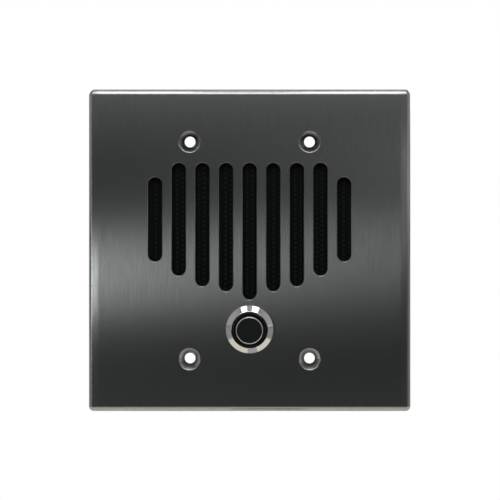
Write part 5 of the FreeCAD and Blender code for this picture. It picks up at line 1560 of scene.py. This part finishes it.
def ribbons(name, lines, width, thickness, finish):
    """Flat strips with rounded bends along the lines of a mesh."""
    rule = Rule(name, Width=width * MM, Thickness=thickness * MM, Bend=0.8 * MM)
    routes = rule.node("GeometryNodeMeshToCurve", {}, {0: rule.size("Base")})
    bent = rule.node("GeometryNodeFilletCurve", {"mode": "POLY"}, {
        0: routes, "Count": 3, "Radius": rule.size("Bend"), "Limit Radius": True})
    level = rule.node("GeometryNodeSetCurveNormal", {"mode": "FREE"}, {0: bent, "Normal": (0, 1, 0)})
    section = rule.node("GeometryNodeCurvePrimitiveQuadrilateral", {}, {
        "Width": rule.size("Thickness"), "Height": rule.size("Width")})
    strips = rule.node("GeometryNodeCurveToMesh", {}, {0: level, 1: section, "Fill Caps": True})
    place_piece(name, rule.make(strips, finish, lines), finish)


# %% [markdown]
# The routes join the pads as a simple intercom would: line terminals to the chip, chip to the
# transformer, microphone and button to the small parts. Each route keeps to the usual 45 degree
# steps wherever there is room, and stays clear of the others.

# %% The tracks of the board
SMALL_PARTS = [FIRST_CHIP + CHIP_PITCH * n for n in range(4)]
LEGS = [26.0 + 1.27 * (n - 1.5) for n in range(4)]
TRACKS = [
    [(34.6, 0.9), (31.4, -2.3), (31.4, -5.6), (LEGS[3], -9.1), (LEGS[3], -11.0)],
    [(34.6, 6.0), (32.6, 6.0), (LEGS[2], 0.0), (LEGS[2], -11.0)],
    [(34.6, 11.0), (31.4, 11.0), (LEGS[1], 5.0), (LEGS[1], -11.0)],
    [(34.6, 16.2), (32.4, 18.4), (32.4, 27.3)],
    [(29.0, 27.3), (29.0, 21.0), (LEGS[0], 16.1), (LEGS[0], -11.0)],
    [(19.4, 33.2), (13.0, 33.2), (10.6, 30.8), (-17.8, 30.8)],
    [(19.0, 28.6), (12.0, 28.6), (11.2, 29.4), (-13.0, 29.4), (-18.0, 24.4), (-25.6, 24.4),
     (SMALL_PARTS[1], 22.4), (SMALL_PARTS[1], -13.2)],
    [(-25.8, 29.8), (-27.6, 29.8)],
    [(-33.6, 26.6), (-37.5, 22.7), (-37.5, 19.6)],
    [(-35.0, 18.6), (-35.0, 15.6), (-40.4, 10.2), (-40.4, 0.4), (-39.4, -0.6), (-39.4, -1.6)],
    [(-37.3, 11.4), (-34.6, 11.4), (SMALL_PARTS[0], 7.6), (SMALL_PARTS[0], -13.2)],
    [(-37.3, 5.6), (-34.9, 3.2), (-34.9, 1.4), (-36.6, -0.3), (-36.6, -1.6)],
    [(-38.0, -8.4), (-38.0, -11.6), (-33.2, -16.4), (-31.6, -16.4), (SMALL_PARTS[0], -15.6),
     (SMALL_PARTS[0], -14.8)],
    [(SMALL_PARTS[1], -14.8), (SMALL_PARTS[1], -18.4), (-34.0, -18.4)],
    [(SMALL_PARTS[2], -13.2), (SMALL_PARTS[2], 3.0), (-23.0, 4.4), (-23.0, 12.0)],
    [(-3.8, -15.2), (-6.4, -17.8), (-22.0, -17.8), (SMALL_PARTS[2], -15.4), (SMALL_PARTS[2], -14.8)],
    [(SMALL_PARTS[3], -13.2), (-19.4, -11.4), (17.0, -11.4), (22.2, -16.6), (LEGS[0], -16.6)],
    [(SMALL_PARTS[3], -14.8), (-20.0, -16.0), (-9.0, -16.0), (-6.2, -13.2), (12.0, -13.2)],
    [(3.8, -15.2), (7.0, -18.4), (24.5, -18.4), (LEGS[1], -17.5), (LEGS[1], -16.8)],
    [(LEGS[2], -16.8), (28.1, -18.3), (33.0, -18.3)],
    [(LEGS[3], -16.6), (30.0, -16.6), (34.4, -12.2), (34.4, -7.0)]]
ribbons("board_tracks", line_mesh("tracks", TRACKS), 0.55, 0.10, "covered_copper")

# %% [markdown]
# ## White print
# Outlines of the parts are printed on the board in white ink, for the hand that places them. They
# carry no words here. They are thinner ribbons than the tracks, by the same rule, along closed
# routes: a box or a circle round each part.

# %% The white print
def box_route(x, z, wide, tall):
    corners = ((-1, -1), (1, -1), (1, 1), (-1, 1))
    return [(x + across * wide / 2, z + up * tall / 2) for across, up in corners]


def round_route(x, z, radius, count=20):
    angles = [math.tau * n / count for n in range(count)]
    return [(x + radius * math.cos(angle), z + radius * math.sin(angle)) for angle in angles]


PRINT = [box_route(26.0, 30.0, 15.2, 11.6), box_route(26.0, -14.0, 5.8, 7.2),
         box_route(-38.0, -5.0, 7.8, 7.8), box_route(39.1, 8.5, 9.2, 22.3)]
PRINT += [box_route(x, -14.0, 2.9, 2.0) for x in SMALL_PARTS]
PRINT += [round_route(CANS_MIDDLE + CANS_APART * side, CANS_HEIGHT, 4.45) for side in (-1, 1)]
PRINT += [round_route(-36.28, 19.0, 3.2), round_route(22.4, -11.2, 0.35, 8)]
PRINT += [round_route(*SPEAKER_AXIS, 19.4, 64)]
ribbons("board_print", line_mesh("print", PRINT, closed=True), 0.16, 0.16, "white_print")

# %% [markdown]
# ## Solder joints
# Molten solder climbs a pin and sets as a small hollow cone. There are over twenty joints and all
# are alike, so a rule places one cone on each point. The cone starts as a straight post, and each
# ring of it is drawn in, the higher the more, because a plain cone would be straight where real
# solder is hollow. Vias are the same shape, but flat.

# %% Solder joints
TIP_SHARE, HOLLOWNESS = 0.34, 2.2


def solder_joints(name, depth, places, radius=0.95, height=1.1):
    """One small hollow cone of solder on each point (x, z) of a face of the board."""
    rule = Rule(name, Radius=radius * MM, Height=height * MM,
                Turn=-math.pi / 2 if depth == BOARD_BACK else math.pi / 2)
    post = rule.node("GeometryNodeMeshCone", {}, {
        "Vertices": 12, "Side Segments": 5, "Radius Top": rule.size("Radius"),
        "Radius Bottom": rule.size("Radius"), "Depth": rule.size("Height")})
    x, y, z = rule.position()
    wide = (1.0 - z / rule.size("Height")) ** HOLLOWNESS * (1.0 - TIP_SHARE) + TIP_SHARE
    hollow = rule.node("GeometryNodeSetPosition", {}, {
        0: post, "Position": rule.vector(x * wide, y * wide, z)})
    joints = rule.node("GeometryNodeInstanceOnPoints", {}, {
        0: rule.size("Base"), "Instance": hollow,
        "Rotation": rule.vector(rule.size("Turn"), 0.0, 0.0)})
    points = bpy.data.meshes.new(name + "_places")
    points.from_pydata([Vector((x, depth, z)) * MM for x, z in places], [], [])
    place_piece(name, rule.make(joints, "solder", points), "solder", crease=50)


BUTTON_PINS = [(3.8 * side, -15.2) for side in (-1, 1)]
BACK_JOINTS = [(-37.3, 5.6), (-37.3, 11.4), (-37.54, 19.0), (-35.02, 19.0)] + BUTTON_PINS
VIAS = [(-34.0, -18.4), (-23.0, 12.0), (12.0, -13.2), (33.0, -18.3), (34.4, -7.0)]
FRONT_JOINTS = [(-31.4, 28.3), (-31.4, 31.3), (-22.0, 28.3), (-22.0, 31.3)]
FRONT_JOINTS += [(-38.0 + x, -5.0 + z) for x, z in ((-2.5, -2.5), (2.5, -2.5), (0.0, 2.5))]
FRONT_JOINTS += [(26.0 + x, 30.0 + z) for x in (-5.0, 0.0, 5.0) for z in (-3.4, 3.4)]
solder_joints("solder_back", BOARD_BACK, BACK_JOINTS)
solder_joints("vias", BOARD_BACK, VIAS, 0.55, 0.10)
solder_joints("solder_front", BOARD_FRONT, FRONT_JOINTS + BUTTON_PINS)

# %% [markdown]
# ## Solder and glue
# Solder on a tag and glue on paper both set as a drop, pulled round by their own surface. Metaballs
# would flow together like that, but a few flattened spheres that sink into the wire and the tag look
# the same at this size and take far fewer faces.

# %% Drops of solder and glue
def drops(name, places, finish, body="station"):
    """Rounded drops: each place is a centre and three half sizes, in millimetres."""
    shape = bmesh.new()
    for centre, half in places:
        drop = bmesh.ops.create_uvsphere(shape, u_segments=20, v_segments=12, radius=1.0)
        for vertex in drop["verts"]:
            vertex.co = Vector([(c + h * v) * MM for c, h, v in zip(centre, half, vertex.co)])
    tidy(shape)
    place_piece(name, as_mesh(name, shape), finish, body=body)


SIDES = (-1, 1)
TAG_HEIGHTS = [SPEAKER_AXIS[1] + TAG_SPREAD * side for side in SIDES]
TAG_SOLDER = [((-22.4, 11.95, z), (0.95, 0.68, 0.78)) for z in TAG_HEIGHTS]
TAG_SOLDER += [((TAG_X, TAG_BACK, z), (0.75, 0.42, 0.75)) for z in TAG_HEIGHTS]
TAG_SOLDER += [((2.6 * side, 20.8, BUTTON_AXIS[1]), (0.72, 0.95, 0.72)) for side in SIDES]
GLUE = [(round_the_cone(side, GLUE_RADIUS, GLUE_ANGLE, GLUE_DEPTH + 0.35), (0.85, 0.68, 0.85))
        for side in SIDES]
drops("tag_solder", TAG_SOLDER, "solder")
drops("cone_glue", GLUE, "dark_glue", body="cone")
